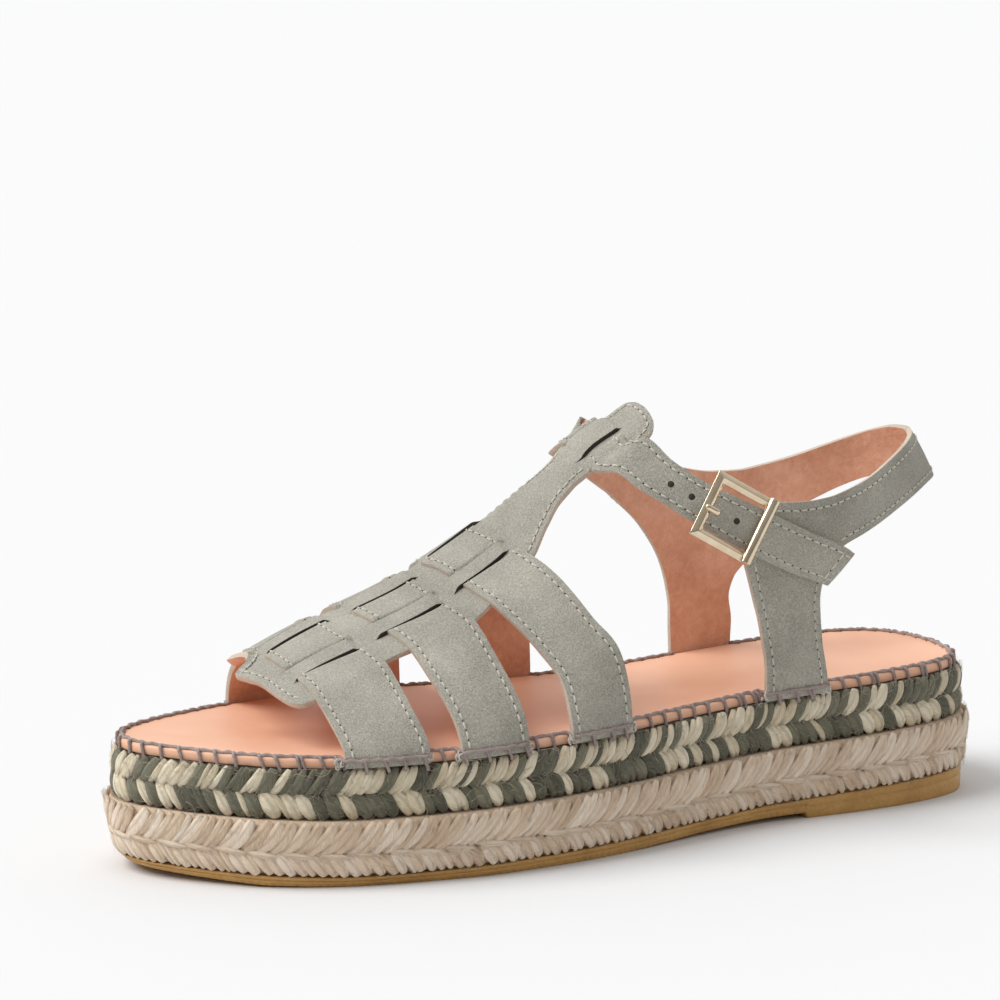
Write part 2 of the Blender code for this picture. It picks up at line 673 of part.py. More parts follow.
def spine():
    """The long middle panel with its slit bridges, the stem and the head with the round tab."""
    slit = SLIT_EASE
    sheet = []
    for row in SPINE:
        x = row[0] * INSOLE_LENGTH
        inner, inner_from, inner_to, outer_from, outer_to, outer = np.array(row[1:7]) * BALL_WIDTH
        bridge, centre = row[7:]
        places = [
            (inner, 0.0),
            (inner_from - slit, 0.0),
            (inner_from + slit, bridge),
            (inner_to - slit, bridge),
            (inner_to + slit, centre),
            (0.5 * (inner_to + outer_from), centre),
            (outer_from - slit, centre),
            (outer_from + slit, bridge),
            (outer_to - slit, bridge),
            (outer_to + slit, 0.0),
            (outer, 0.0),
        ]
        sheet.append([(x, side, lift) for side, lift in places])
    sheet = np.array(sheet)
    first = sheet[0].copy()
    front = np.interp(first[:, 1] / BALL_WIDTH, column(SPINE_FRONT, 0), column(SPINE_FRONT, 1))
    first[:, 0] = front * INSOLE_LENGTH
    sheet = np.concatenate([first[None], sheet])
    x, y = sheet[..., 0], sheet[..., 1]
    points = np.stack([x, y, foot_height(x, y)], axis=-1)
    points += foot_slope(x, y) * (sheet[..., 2] * WEAVE_LEVEL)[..., None]
    faces = grid_faces(points.shape[0], points.shape[1])
    return thicken("spine", points.reshape(-1, 3), faces, (0.0, 0.0, 1.0))


def head_margins():
    """The head's flat margins that lie under the ankle band beside the slots."""
    front, rear, inner, outer = HEAD_MARGIN
    along = np.linspace(front, rear, 5) * INSOLE_LENGTH
    across = np.linspace(inner, outer, 11) * BALL_WIDTH
    x, y = np.meshgrid(along, across, indexing="ij")
    points = np.stack([x, y, foot_height(x, y)], axis=-1)
    return thicken("margins", points.reshape(-1, 3), grid_faces(5, 11), (0.0, 0.0, 1.0))


def edge_points(table):
    """Turn rows of shares into rows of two edge points in millimetres."""
    base = float(insole_height(0.0))
    scale = np.array([INSOLE_LENGTH, BALL_WIDTH, STRAP_HEIGHT] * 2)
    return np.asarray(table, dtype=float) * scale + np.array([0.0, 0.0, base] * 2)


def spread(table, spacing):
    """Edge points at even steps along a smooth line through table rows."""
    points = edge_points(table)
    way = np.concatenate([[0.0], np.cumsum(np.linalg.norm(np.diff(points[:, :3], axis=0), axis=1))])
    count = max(2, int(round(way[-1] / spacing)) + 1)
    at = np.linspace(0.0, way[-1], count)
    return np.stack([smooth_value(at, way, points[:, index]) for index in range(points.shape[1])], axis=1)


def threaded_rows():
    """Edges of the ankle band where it threads the head."""
    rows = []
    for side_share, level in HEAD_THREAD:
        edges = []
        for place in (HEAD_REAR, HEAD_FRONT):
            x = np.array(place * INSOLE_LENGTH)
            side = np.array(side_share * BALL_WIDTH)
            out = foot_slope(x, side) * level * WEAVE_LEVEL
            edges.extend([float(x) + out[0], float(side) + out[1], float(foot_height(x, side)) + out[2]])
        rows.append(edges)
    return np.array(rows)


def band_and_stays():
    """The ankle band from the outer side round the heel, through the head and down to its free end."""
    back = spread(HEEL_BAND, 6.0)
    strap = spread(ANKLE_STRAP, 6.0)
    edges = np.vstack([back, threaded_rows(), strap])
    across = np.linspace(0.0, 1.0, 4)
    top = edges[:, None, :3]
    bottom = edges[:, None, 3:]
    points = top + (bottom - top) * across[None, :, None]
    sheet = list(points.reshape(-1, 3))
    faces = grid_faces(len(points), len(across))
    width = len(across)
    stays = ((OUTER_STAY, OUTER_FOOT, OUTER_ROOT, 1), (INNER_STAY, INNER_FOOT, INNER_ROOT, 2))
    for stay, foot, root_range, side in stays:
        sign = 1.0 if side == 1 else -1.0
        rear, front = root_range
        lower = edges[: len(back), 3:] / INSOLE_LENGTH
        on_side = (sign * lower[:, 1] > 0.0) & (lower[:, 0] > rear) & (lower[:, 0] < front)
        chosen = np.flatnonzero(on_side).tolist()
        if side == 2:
            chosen = chosen[::-1]
        root = [points[index, -1] for index in chosen]
        rows = [np.concatenate([root[0], root[-1]])]
        rows.extend(edge_points(stay))
        for drop in (0.0, INSOLE_THICKNESS - GAP):
            ends = []
            for place in foot:
                x = place * INSOLE_LENGTH
                y = sign * float(edge_reach(x, side))
                ends.extend([x, y, float(insole_height(x)) - drop])
            rows.append(np.array(ends))
        share = np.linspace(0.0, 1.0, len(root))
        before = [index * width + width - 1 for index in chosen]
        straight = rows[0][None, :3] + (rows[0][None, 3:] - rows[0][None, :3]) * share[:, None]
        keep = np.array(root) - straight
        for number, row in enumerate(rows[1:], start=1):
            fade = max(0.0, 1.0 - number / 3.0) ** 2
            line = row[None, :3] + (row[None, 3:] - row[None, :3]) * share[:, None] + keep * fade
            now = list(range(len(sheet), len(sheet) + len(line)))
            sheet.extend(line)
            for step in range(len(line) - 1):
                faces.append((before[step], before[step + 1], now[step + 1], now[step]))
            before = now
    return thicken("band", sheet, faces, (0.0, 1.0, 0.0))


def join_all(parts, name):
    """Union solids into the first one and name the result."""
    base = parts[0]
    for other in parts[1:]:
        modifier = base.modifiers.new("join", "BOOLEAN")
        modifier.operation = "UNION"
        modifier.solver = "EXACT"
        modifier.object = other
        bpy.context.view_layer.update()
        evaluated = base.evaluated_get(bpy.context.evaluated_depsgraph_get())
        mesh = bpy.data.meshes.new_from_object(evaluated)
        base.modifiers.clear()
        base.data = mesh
        bpy.data.objects.remove(other, do_unlink=True)
    shape = bmesh.new()
    shape.from_mesh(base.data)
    bmesh.ops.triangulate(shape, faces=shape.faces)
    bmesh.ops.remove_doubles(shape, verts=shape.verts, dist=MERGE_DISTANCE)
    bmesh.ops.dissolve_degenerate(shape, edges=shape.edges, dist=MERGE_DISTANCE)
    shape.to_mesh(base.data)
    shape.free()
    base.name = name
    base.data.name = name
    return base


def buckle_axes():
    """Directions along the strap, along the bars and out of the buckle."""
    along = np.array(BUCKLE_ALONG) / np.linalg.norm(BUCKLE_ALONG)
    across = np.array(BUCKLE_ACROSS) - along * np.dot(BUCKLE_ACROSS, along)
    across = across / np.linalg.norm(across)
    out = np.cross(across, along)
    return along, across, out if out[1] > 0.0 else -out


def place_buckle(points):
    """Move points from the buckle's own axes to its place on the strap."""
    along, across, out = buckle_axes()
    points = np.asarray(points)
    centre = np.array(BUCKLE_CENTRE) * np.array([INSOLE_LENGTH, BALL_WIDTH, STRAP_HEIGHT])
    centre = centre + np.array([0.0, 0.0, float(insole_height(0.0))])
    return centre + points[:, :1] * along + points[:, 1:2] * across + points[:, 2:] * out


def buckle_frame():
    """Square frame with bevelled bars and the thick roller on the bar nearest the heel."""
    half = BUCKLE_SIDE / 2.0
    low = BUCKLE_LIFT
    high = BUCKLE_LIFT + BUCKLE_THICKNESS
    cut = BUCKLE_CHAMFER
    section = [
        (half, low),
        (half, high - cut),
        (half - cut, high),
        (half - BUCKLE_BAR + cut, high),
        (half - BUCKLE_BAR, high - cut),
        (half - BUCKLE_BAR, low),
    ]
    corners = ((1.0, 1.0), (-1.0, 1.0), (-1.0, -1.0), (1.0, -1.0))
    points = [(out * sx, out * sy, height) for sx, sy in corners for out, height in section]
    count = len(section)
    faces = []
    for corner in range(4):
        for step in range(count):
            here = corner * count
            there = ((corner + 1) % 4) * count
            after = (step + 1) % count
            faces.append((here + step, here + after, there + after, there + step))
    frame = add_object("buckle_frame", place_buckle(points), faces)
    turn = (np.arange(12) + 0.5) * (2.0 * math.pi / 12.0)
    reach = half + ROLLER_OVERHANG
    middle = half - BUCKLE_BAR / 2.0 - ROLLER_INSET
    rise = low + ROLLER_THICKNESS / 2.0 + ROLLER_RAISE
    ring_x = middle + np.cos(turn) * ROLLER_WIDTH / 2.0
    ring_z = rise + np.sin(turn) * ROLLER_THICKNESS / 2.0
    ring = list(zip(ring_x, ring_z))
    points = [(x, -reach, z) for x, z in ring] + [(x, reach, z) for x, z in ring]
    faces = [(step, (step + 1) % 12, 12 + (step + 1) % 12, 12 + step) for step in range(12)]
    faces.append(tuple(range(11, -1, -1)))
    faces.append(tuple(range(12, 24)))
    roller = add_object("roller", place_buckle(points), faces)
    return join_all([frame, roller], "buckle_frame")


def buckle_prong():
    """The end of the prong that rests over the bar nearest the head."""
    inside = -BUCKLE_SIDE / 2.0 + BUCKLE_BAR
    top = BUCKLE_LIFT + BUCKLE_THICKNESS + GAP
    path = (
        (inside + 1.6, BUCKLE_LIFT),
        (inside + 1.3, top - 0.3),
        (inside + 0.4, top + 0.1),
        (inside - 2.0, top + 0.1),
        (inside - 3.0, top - 0.2),
    )
    half = PRONG_WIDTH / 2.0
    ahead = np.gradient(np.array(path), axis=0)
    ahead = ahead / np.linalg.norm(ahead, axis=1)[:, None]
    outer = np.array(path) + np.stack([ahead[:, 1], -ahead[:, 0]], axis=1) * PRONG_THICKNESS
    points = []
    for side in (-half, half):
        points.extend((x, side + PRONG_OFFSET, z) for x, z in path)
        points.extend((x, side * 0.7 + PRONG_OFFSET, z) for x, z in outer)
    count = len(path)
    faces = []
    for step in range(count - 1):
        low, high = step, step + count
        far = 2 * count
        faces.append((low, low + 1, high + 1, high))
        faces.append((far + low + 1, far + low, far + high, far + high + 1))
        faces.append((low + 1, low, far + low, far + low + 1))
        faces.append((high, high + 1, far + high + 1, far + high))
    faces.append((0, count, 3 * count, 2 * count))
    faces.append((count - 1, 3 * count - 1, 4 * count - 1, 2 * count - 1))
    return add_object("buckle_prong", place_buckle(points), faces)


def give_material(part, name, colour, roughness, metallic):
    """Give a part its own plain material."""
    material = bpy.data.materials.new(name)
    material.use_nodes = True
    shader = material.node_tree.nodes["Principled BSDF"]
    shader.inputs["Base Color"].default_value = (*colour, 1.0)
    shader.inputs["Roughness"].default_value = roughness
    shader.inputs["Metallic"].default_value = metallic
    material.diffuse_color = (*colour, 1.0)
    part.data.materials.clear()
    part.data.materials.append(material)


def centre_parts(parts):
    """Move everything so the origin is the centre of the base."""
    corners = np.array([vertex.co[:] for part in parts for vertex in part.data.vertices])
    low = corners.min(axis=0)
    high = corners.max(axis=0)
    shift = (-(low[0] + high[0]) / 2.0, -(low[1] + high[1]) / 2.0, -low[2])
    for part in parts:
        for vertex in part.data.vertices:
            vertex.co = (vertex.co[0] + shift[0], vertex.co[1] + shift[1], vertex.co[2] + shift[2])
        part.data.update()


def build():
    """Build every part of the sandal."""
    for scene_object in list(bpy.data.objects):
        bpy.data.objects.remove(scene_object, do_unlink=True)

    def insole_base(x):
        return insole_height(x) - INSOLE_THICKNESS

    def braid_base(x):
        return insole_base(x) - BRAID_HEIGHT

    def jute_base_height(x):
        return braid_base(x) - JUTE_HEIGHT

    outsole = sole_layer(
        "outsole", rubber_columns(), RUBBER_ROWS, RUBBER_EDGE, tread_height,
        lambda x: jute_base_height(x) - GAP, bulge=RUBBER_GROOVE,
    )
    jute = sole_layer(
        "jute_base", even_columns(2 * JUTE_STRANDS), JUTE_ROWS, JUTE_EDGE, jute_base_height,
        lambda x: braid_base(x) - GAP, bulge=JUTE_BULGE, relief=JUTE_RELIEF, slant=JUTE_SLANT,
    )
    braid = sole_layer(
        "braid_band", even_columns(2 * BRAID_STRANDS), BRAID_ROWS, BRAID_EDGE, braid_base,
        lambda x: insole_base(x) - GAP, bulge=BRAID_BULGE, relief=BRAID_RELIEF, slant=BRAID_SLANT,
    )
    insole = sole_layer(
        "insole", even_columns(100), INSOLE_ROWS, INSOLE_EDGE, insole_base,
        insole_height, bulge=INSOLE_ROUNDING,
    )
    straps = [
        spine(),
        head_margins(),
        cross_strap("front_strap", FRONT_STRAP, FRONT_WEAVE),
        cross_strap("middle_strap", MIDDLE_STRAP, MIDDLE_WEAVE),
        cross_strap("rear_strap", REAR_STRAP, REAR_WEAVE),
        band_and_stays(),
    ]
    upper = join_all(straps, "upper")
    frame = buckle_frame()
    prong = buckle_prong()
    give_material(outsole, "tan_rubber", (0.48, 0.33, 0.13), 0.55, 0.0)
    give_material(jute, "natural_jute", (0.62, 0.47, 0.31), 0.95, 0.0)
    give_material(braid, "green_and_cream_jute", (0.33, 0.32, 0.24), 0.95, 0.0)
    give_material(insole, "peach_leather", (0.75, 0.42, 0.28), 0.5, 0.0)
    give_material(upper, "sage_suede", (0.38, 0.39, 0.33), 0.9, 0.0)
    give_material(frame, "pale_gold_frame", (0.83, 0.74, 0.58), 0.2, 1.0)
    give_material(prong, "pale_gold_prong", (0.83, 0.74, 0.58), 0.2, 1.0)
    centre_parts([outsole, jute, braid, insole, upper, frame, prong])


build()
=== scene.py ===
"""Looks of a left strap sandal: woven suede straps on a braided jute and rubber sole.

Shapes are worked out in millimetres in the foot's own axes: x starts at the back of the insole
and runs to the toe, y grows to the outer side and z starts at the floor. The tables hold shares
of the named sizes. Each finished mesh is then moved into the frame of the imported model.
"""

from __future__ import annotations

import logging
import math
from dataclasses import dataclass, field
from enum import Enum

import bmesh
import bpy
import numpy as np
from mathutils import Matrix, Vector

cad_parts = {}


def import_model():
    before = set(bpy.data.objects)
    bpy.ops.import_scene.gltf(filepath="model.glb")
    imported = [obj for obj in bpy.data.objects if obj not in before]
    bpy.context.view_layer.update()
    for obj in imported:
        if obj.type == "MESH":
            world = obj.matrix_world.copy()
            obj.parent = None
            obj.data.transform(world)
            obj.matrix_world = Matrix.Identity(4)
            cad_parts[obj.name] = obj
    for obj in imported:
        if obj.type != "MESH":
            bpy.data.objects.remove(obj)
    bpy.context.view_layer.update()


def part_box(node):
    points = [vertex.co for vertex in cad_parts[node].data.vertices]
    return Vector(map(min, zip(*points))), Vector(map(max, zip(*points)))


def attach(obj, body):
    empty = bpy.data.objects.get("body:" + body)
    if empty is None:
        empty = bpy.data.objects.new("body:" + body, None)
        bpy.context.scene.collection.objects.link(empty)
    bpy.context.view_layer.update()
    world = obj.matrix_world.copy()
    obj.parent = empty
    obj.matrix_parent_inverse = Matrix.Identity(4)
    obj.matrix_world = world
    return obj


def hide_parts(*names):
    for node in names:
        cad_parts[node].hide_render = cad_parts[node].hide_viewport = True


LOG = logging.getLogger("sandal")
MM = 0.001
BODY = "root"
Array = np.ndarray
Table = tuple[tuple[float, ...], ...]

# Foot outline: place, half width to the outer side, half width to the inner side
OUTLINE = (
    (0.0, 0.0, 0.0),
    (0.015, 0.211, 0.205),
    (0.045, 0.286, 0.288),
    (0.1, 0.325, 0.334),
    (0.18, 0.34, 0.348),
    (0.28, 0.332, 0.332),
    (0.38, 0.372, 0.314),
    (0.48, 0.443, 0.337),
    (0.57, 0.49, 0.391),
    (0.66, 0.505, 0.459),
    (0.74, 0.478, 0.493),
    (0.82, 0.424, 0.466),
    (0.89, 0.327, 0.389),
    (0.945, 0.195, 0.299),
    (0.98, 0.078, 0.215),
    (1.0, -0.072, 0.072),
)

# Rise of the insole's top: place, share of the heel raise
INSOLE_TOP = (
    (0.0, 1.0),
    (0.2, 0.687),
    (0.4, 0.312),
    (0.6, 0.125),
    (0.8, 0.0),
    (1.0, 0.396),
)

# Lift of the rubber's underside between the heel block and the toe: place, arch share, spring share
TREAD = (
    (0.24, 1.0, 0.0),
    (0.34, 0.8, 0.0),
    (0.50, 0.0, 0.0),
    (0.82, 0.0, 0.0),
    (0.90, 0.0, 0.22),
    (1.00, 0.0, 1.0),
)

# How far each layer's edge stands out past the insole: place, bottom, top, as shares of the overhang
RUBBER_EDGE = (
    (0.0, 0.35, 0.42),
    (0.12, 0.62, 0.67),
    (0.5, 0.63, 0.69),
    (0.9, 0.42, 0.62),
    (1.0, -0.27, 0.17),
)
JUTE_EDGE = (
    (0.0, 0.46, 0.75),
    (0.12, 0.69, 0.92),
    (0.5, 0.75, 1.0),
    (0.9, 0.65, 0.96),
    (1.0, 0.21, 0.77),
)
BRAID_EDGE = (
    (0.0, 0.19, 0.17),
    (0.12, 0.31, 0.25),
    (0.5, 0.37, 0.29),
    (0.9, 0.33, 0.25),
    (1.0, 0.21, 0.17),
)

# Top line of the foot under the straps: place, height over the insole, side position,
# and how square the cross section is
RIDGE = (
    (0.34, 1.064, -0.045, 2.0),
    (0.38, 1.032, -0.045, 2.0),
    (0.42, 0.964, -0.057, 2.0),
    (0.448, 0.917, -0.068, 2.0),
    (0.48, 0.827, -0.08, 1.7),
    (0.52, 0.737, -0.085, 1.45),
    (0.56, 0.647, -0.102, 1.4),
    (0.6, 0.571, -0.114, 1.4),
    (0.64, 0.506, -0.114, 1.4),
    (0.68, 0.449, -0.114, 1.4),
    (0.72, 0.404, -0.114, 1.4),
    (0.76, 0.359, -0.114, 1.4),
    (0.8, 0.31, -0.108, 1.4),
    (0.84, 0.25, -0.102, 1.4),
    (0.88, 0.186, -0.091, 1.4),
    (0.912, 0.128, -0.091, 1.4),
)

# Cross straps: share of the way from the top line to the outline (inner side negative),
# place of the rear edge, place of the front edge
FRONT_STRAP = (
    (-1.0, 0.728, 0.814),
    (-0.75, 0.736, 0.824),
    (-0.45, 0.752, 0.8344),
    (-0.1, 0.762, 0.8372),
    (0.15, 0.76, 0.8328),
    (0.45, 0.7472, 0.828),
    (0.62, 0.7408, 0.8256),
    (0.85, 0.74, 0.8256),
    (1.0, 0.734, 0.8236),
)
MIDDLE_STRAP = (
    (-1.0, 0.6072, 0.694),
    (-0.75, 0.624, 0.712),
    (-0.45, 0.648, 0.732),
    (0.0, 0.662, 0.738),
    (0.15, 0.6548, 0.7288),
    (0.35, 0.6464, 0.72),
    (0.58, 0.632, 0.7088),
    (0.78, 0.6288, 0.7056),
    (1.0, 0.6192, 0.6988),
)
REAR_STRAP = (
    (-1.0, 0.4588, 0.544),
    (-0.75, 0.488, 0.584),
    (-0.4, 0.55, 0.626),
    (0.0, 0.572, 0.636),
    (0.15, 0.566, 0.6288),
    (0.35, 0.552, 0.62),
    (0.57, 0.5332, 0.6024),
    (0.8, 0.512, 0.5812),
    (0.93, 0.4896, 0.5664),
    (1.0, 0.4832, 0.564),
)

# Where a cross strap runs over (1) and under (-1) the spine: side position, level
FRONT_WEAVE = (
    (-0.2727, 0.5),
    (-0.2386, 1.0),
    (-0.1432, 1.0),
    (-0.125, -1.0),
    (-0.0727, -1.0),
    (-0.0545, 1.0),
    (0.0727, 1.0),
    (0.0909, -1.0),
    (0.1341, -1.0),
    (0.1523, 1.0),
    (0.2386, 1.0),
    (0.2841, 0.5),
)
MIDDLE_WEAVE = (
    (-0.25, 0.5),
    (-0.2102, 1.0),
    (-0.1273, 1.0),
    (-0.1114, -1.0),
    (-0.0557, -1.0),
    (-0.0386, 1.0),
    (0.0568, 1.0),
    (0.0739, -1.0),
    (0.1205, -1.0),
    (0.1364, 1.0),
    (0.233, 1.0),
    (0.2727, 0.5),
)
REAR_WEAVE = (
    (-0.2386, 0.5),
    (-0.1932, 1.0),
    (-0.1705, 1.0),
    (-0.1545, -1.0),
    (-0.1182, -1.0),
    (-0.1023, 1.0),
    (0.0318, 1.0),
    (0.0489, -1.0),
    (0.0864, -1.0),
    (0.1023, 1.0),
    (0.1932, 1.0),
    (0.2386, 0.5),
)

# Spine with its stem and head: place, inner edge, inner bridge from and to, outer bridge from
# and to, outer edge, level of the bridges, level of the centre
SPINE = (
    (0.834, -0.2841, -0.125, -0.0602, 0.0818, 0.1455, 0.2477, 0.0, 0.0),
    (0.826, -0.2875, -0.125, -0.0636, 0.0818, 0.1443, 0.2534, 1.0, 0.0),
    (0.792, -0.267, -0.1273, -0.0682, 0.0807, 0.142, 0.2477, 1.0, 0.0),
    (0.762, -0.2364, -0.1284, -0.0682, 0.0795, 0.1409, 0.2375, 1.0, 0.0),
    (0.7532, -0.2273, -0.1273, -0.0659, 0.0773, 0.1386, 0.2341, 0.0, 0.0),
    (0.734, -0.2193, -0.1205, -0.0523, 0.0705, 0.1341, 0.2295, 0.0, 0.0),
    (0.726, -0.2182, -0.1182, -0.0477, 0.0682, 0.1318, 0.2284, 1.0, 0.0),
    (0.688, -0.2148, -0.1159, -0.0455, 0.0659, 0.1273, 0.2318, 1.0, 0.0),
    (0.658, -0.2125, -0.117, -0.0477, 0.0614, 0.1227, 0.2375, 1.0, 0.0),
    (0.648, -0.2102, -0.1227, -0.0568, 0.0568, 0.1182, 0.2375, 0.0, 0.0),
    (0.636, -0.208, -0.1364, -0.0841, 0.05, 0.1114, 0.2352, 0.0, 0.0),
    (0.626, -0.2057, -0.1523, -0.1045, 0.0455, 0.1023, 0.2273, 1.0, 0.0),
    (0.596, -0.1977, -0.1602, -0.1114, 0.0398, 0.0955, 0.1977, 1.0, 0.0),
    (0.57, -0.1864, -0.1545, -0.1114, 0.0341, 0.0886, 0.175, 1.0, 0.0),
    (0.56, -0.1795, -0.1455, -0.1068, 0.0295, 0.0818, 0.1659, 0.0, 0.0),
    (0.5432, -0.15, -0.125, -0.0909, 0.0227, 0.0682, 0.1477, 0.0, 0.0),
    (0.52, -0.1182, -0.0977, -0.0659, 0.017, 0.0568, 0.1045, 0.0, 0.0),
    (0.496, -0.1011, -0.0795, -0.0523, 0.0148, 0.0432, 0.0727, 0.0, 0.0),
    (0.48, -0.0989, -0.0795, -0.0523, 0.0148, 0.0432, 0.0705, 0.0, 0.0),
    (0.4704, -0.1045, -0.0841, -0.0545, 0.0205, 0.05, 0.0818, 0.0, 0.0),
    (0.4624, -0.1091, -0.0886, -0.0614, 0.0386, 0.0614, 0.0932, 0.0, 0.4),
    (0.4576, -0.1068, -0.0886, -0.0636, 0.0455, 0.0659, 0.0932, 0.0, 1.0),
    (0.4256, -0.0909, -0.0773, -0.0545, 0.0477, 0.0727, 0.1023, 0.0, 1.0),
    (0.4196, -0.075, -0.0636, -0.0455, 0.0477, 0.0773, 0.1205, 0.0, 1.0),
    (0.416, -0.0636, -0.0523, -0.0364, 0.0477, 0.0795, 0.1341, 0.0, 0.3),
    (0.4128, -0.0557, -0.0455, -0.0318, 0.0477, 0.0795, 0.1352, 0.0, 0.0),
    (0.4008, -0.0557, -0.0432, -0.0273, 0.0477, 0.0773, 0.1318, 0.0, 0.0),
    (0.3904, -0.0511, -0.0386, -0.0227, 0.0477, 0.075, 0.1227, 0.0, 0.0),
    (0.3856, -0.0307, -0.0216, -0.0068, 0.0477, 0.0705, 0.1102, 0.0, 0.0),
    (0.3828, -0.0045, 0.0045, 0.0159, 0.0477, 0.0659, 0.0955, 0.0, 0.0),
)

# Margins of the head beside the slots: front and rear place, inner and outer end
HEAD_MARGIN = (0.462, 0.424, -0.125, 0.105)

# Shaped front end of the spine: side position, place
SPINE_FRONT = (
    (-0.2955, 0.8356),
    (-0.2273, 0.8392),
    (-0.1364, 0.84),
    (-0.0909, 0.8496),
    (-0.0568, 0.8692),
    (-0.017, 0.8656),
    (0.0568, 0.8584),
    (0.125, 0.856),
    (0.2045, 0.8504),
    (0.2386, 0.8432),
    (0.25, 0.8368),
)

# Ankle band round the heel, from the outer side to the inner side: place, side position and
# height of its top edge, then of its bottom edge
HEEL_BAND = (
    (0.29, 0.3659, 0.6603, 0.32, 0.3636, 0.45),
    (0.264, 0.3636, 0.6526, 0.272, 0.3682, 0.4372),
    (0.2432, 0.3614, 0.6487, 0.23, 0.3705, 0.45),
    (0.206, 0.3432, 0.6538, 0.204, 0.3682, 0.4654),
    (0.184, 0.325, 0.6654, 0.182, 0.3591, 0.491),
    (0.146, 0.2784, 0.6885, 0.144, 0.3114, 0.5192),
    (0.102, 0.2136, 0.7346, 0.0964, 0.2455, 0.5654),
    (0.058, 0.125, 0.7821, 0.0396, 0.1386, 0.6141),
    (0.034, 0.0341, 0.8013, 0.0056, 0.0341, 0.6346),
    (0.0256, -0.0341, 0.8051, 0.0032, -0.0398, 0.6372),
    (0.0272, -0.1023, 0.8, 0.0128, -0.1136, 0.6269),
    (0.04, -0.1705, 0.7795, 0.0376, -0.1875, 0.6013),
    (0.064, -0.2341, 0.7449, 0.0664, -0.2545, 0.5577),
    (0.092, -0.2795, 0.709, 0.092, -0.2955, 0.5141),
    (0.122, -0.3136, 0.6756, 0.12, -0.3227, 0.4705),
    (0.1576, -0.3341, 0.65, 0.16, -0.3364, 0.4423),
    (0.188, -0.3409, 0.6372, 0.2, -0.3432, 0.4372),
    (0.2212, -0.3432, 0.641, 0.24, -0.3432, 0.45),
    (0.264, -0.3364, 0.6679, 0.28, -0.3386, 0.4705),
    (0.308, -0.3205, 0.7192, 0.322, -0.3205, 0.5141),
    (0.352, -0.2909, 0.7885, 0.3656, -0.2886, 0.5987),
    (0.392, -0.2432, 0.8628, 0.408, -0.2409, 0.6885),
    (0.4184, -0.2045, 0.9141, 0.4416, -0.2045, 0.7654),
)

# Threading of the ankle band through the head: side position, level over the head
HEAD_THREAD = (
    (-0.1636, 1.5),
    (-0.1193, 1.0),
    (-0.0864, 1.0),
    (-0.0716, -1.0),
    (-0.0455, -1.0),
    (-0.017, -1.0),
    (0.0114, -1.0),
    (0.0364, -1.0),
    (0.058, -1.0),
    (0.0727, 1.0),
    (0.1136, 1.0),
)
HEAD_REAR = 0.4188
HEAD_FRONT = 0.4604

# Ankle strap from the head down to its free end, in the same columns
ANKLE_STRAP = (
    (0.4088, 0.1648, 0.8936, 0.4496, 0.1648, 0.7833),
    (0.3872, 0.2477, 0.8141, 0.4284, 0.2341, 0.7256),
    (0.3592, 0.3136, 0.7423, 0.4008, 0.2886, 0.6603),
    (0.346, 0.3386, 0.7179, 0.3852, 0.3205, 0.6218),
    (0.302, 0.3841, 0.6423, 0.3316, 0.3795, 0.5103),
    (0.2884, 0.3932, 0.6179, 0.3148, 0.3909, 0.4808),
    (0.2412, 0.4045, 0.541, 0.2724, 0.4045, 0.4115),
    (0.1988, 0.4114, 0.4756, 0.234, 0.4114, 0.3615),
    (0.19, 0.4125, 0.4538, 0.2252, 0.4125, 0.3487),
)

# Side stays from the band to the sole: place, side position and height of the front edge,
# then of the rear edge
OUTER_STAY = (
    (0.3132, 0.3636, 0.3731, 0.2144, 0.3693, 0.4051),
    (0.3084, 0.3636, 0.3154, 0.222, 0.3659, 0.3474),
    (0.3024, 0.3648, 0.2449, 0.2244, 0.3636, 0.2885),
    (0.298, 0.3659, 0.1692, 0.222, 0.3648, 0.1449),
    (0.2936, 0.367, 0.0782, 0.2176, 0.367, 0.0526),
)
INNER_STAY = (
    (0.3224, -0.325, 0.4731, 0.1504, -0.3386, 0.3859),
    (0.292, -0.3432, 0.3256, 0.18, -0.3443, 0.2872),
    (0.2824, -0.35, 0.2321, 0.1944, -0.3477, 0.2372),
    (0.2776, -0.3545, 0.1423, 0.2004, -0.3523, 0.1679),
    (0.2768, -0.3591, 0.0654, 0.196, -0.3591, 0.0782),
)
OUTER_ROOT = (0.198, 0.35)
INNER_ROOT = (0.116, 0.372)
OUTER_FOOT = (0.2916, 0.214)
INNER_FOOT = (0.2764, 0.1952)

# Place of the buckle's underside on the strap, and the directions of the strap and of the bars
BUCKLE_CENTRE = (0.3392, 0.3784, 0.6205)
BUCKLE_ALONG = (-16.6, 3.6, -10.2)
BUCKLE_ACROSS = (-10.9, -1.2, 15.8)


# Last row of the round tab, in the columns of the spine
SPINE_END = ((0.3816, 0.028, 0.034, 0.04, 0.0477, 0.056, 0.066, 0.0, 0.0),)

# Where the cross straps and the stays pass the insole's edge: rear and front place
OUTER_ENDS = ((0.734, 0.8236), (0.6192, 0.6988), (0.4832, 0.564), (0.214, 0.2916))
INNER_ENDS = ((0.728, 0.814), (0.6072, 0.694), (0.4588, 0.544), (0.1952, 0.2764))

# Holes of the ankle strap, in millimetres from its free end
STRAP_HOLES = (35.5, 49.7, 56.4)


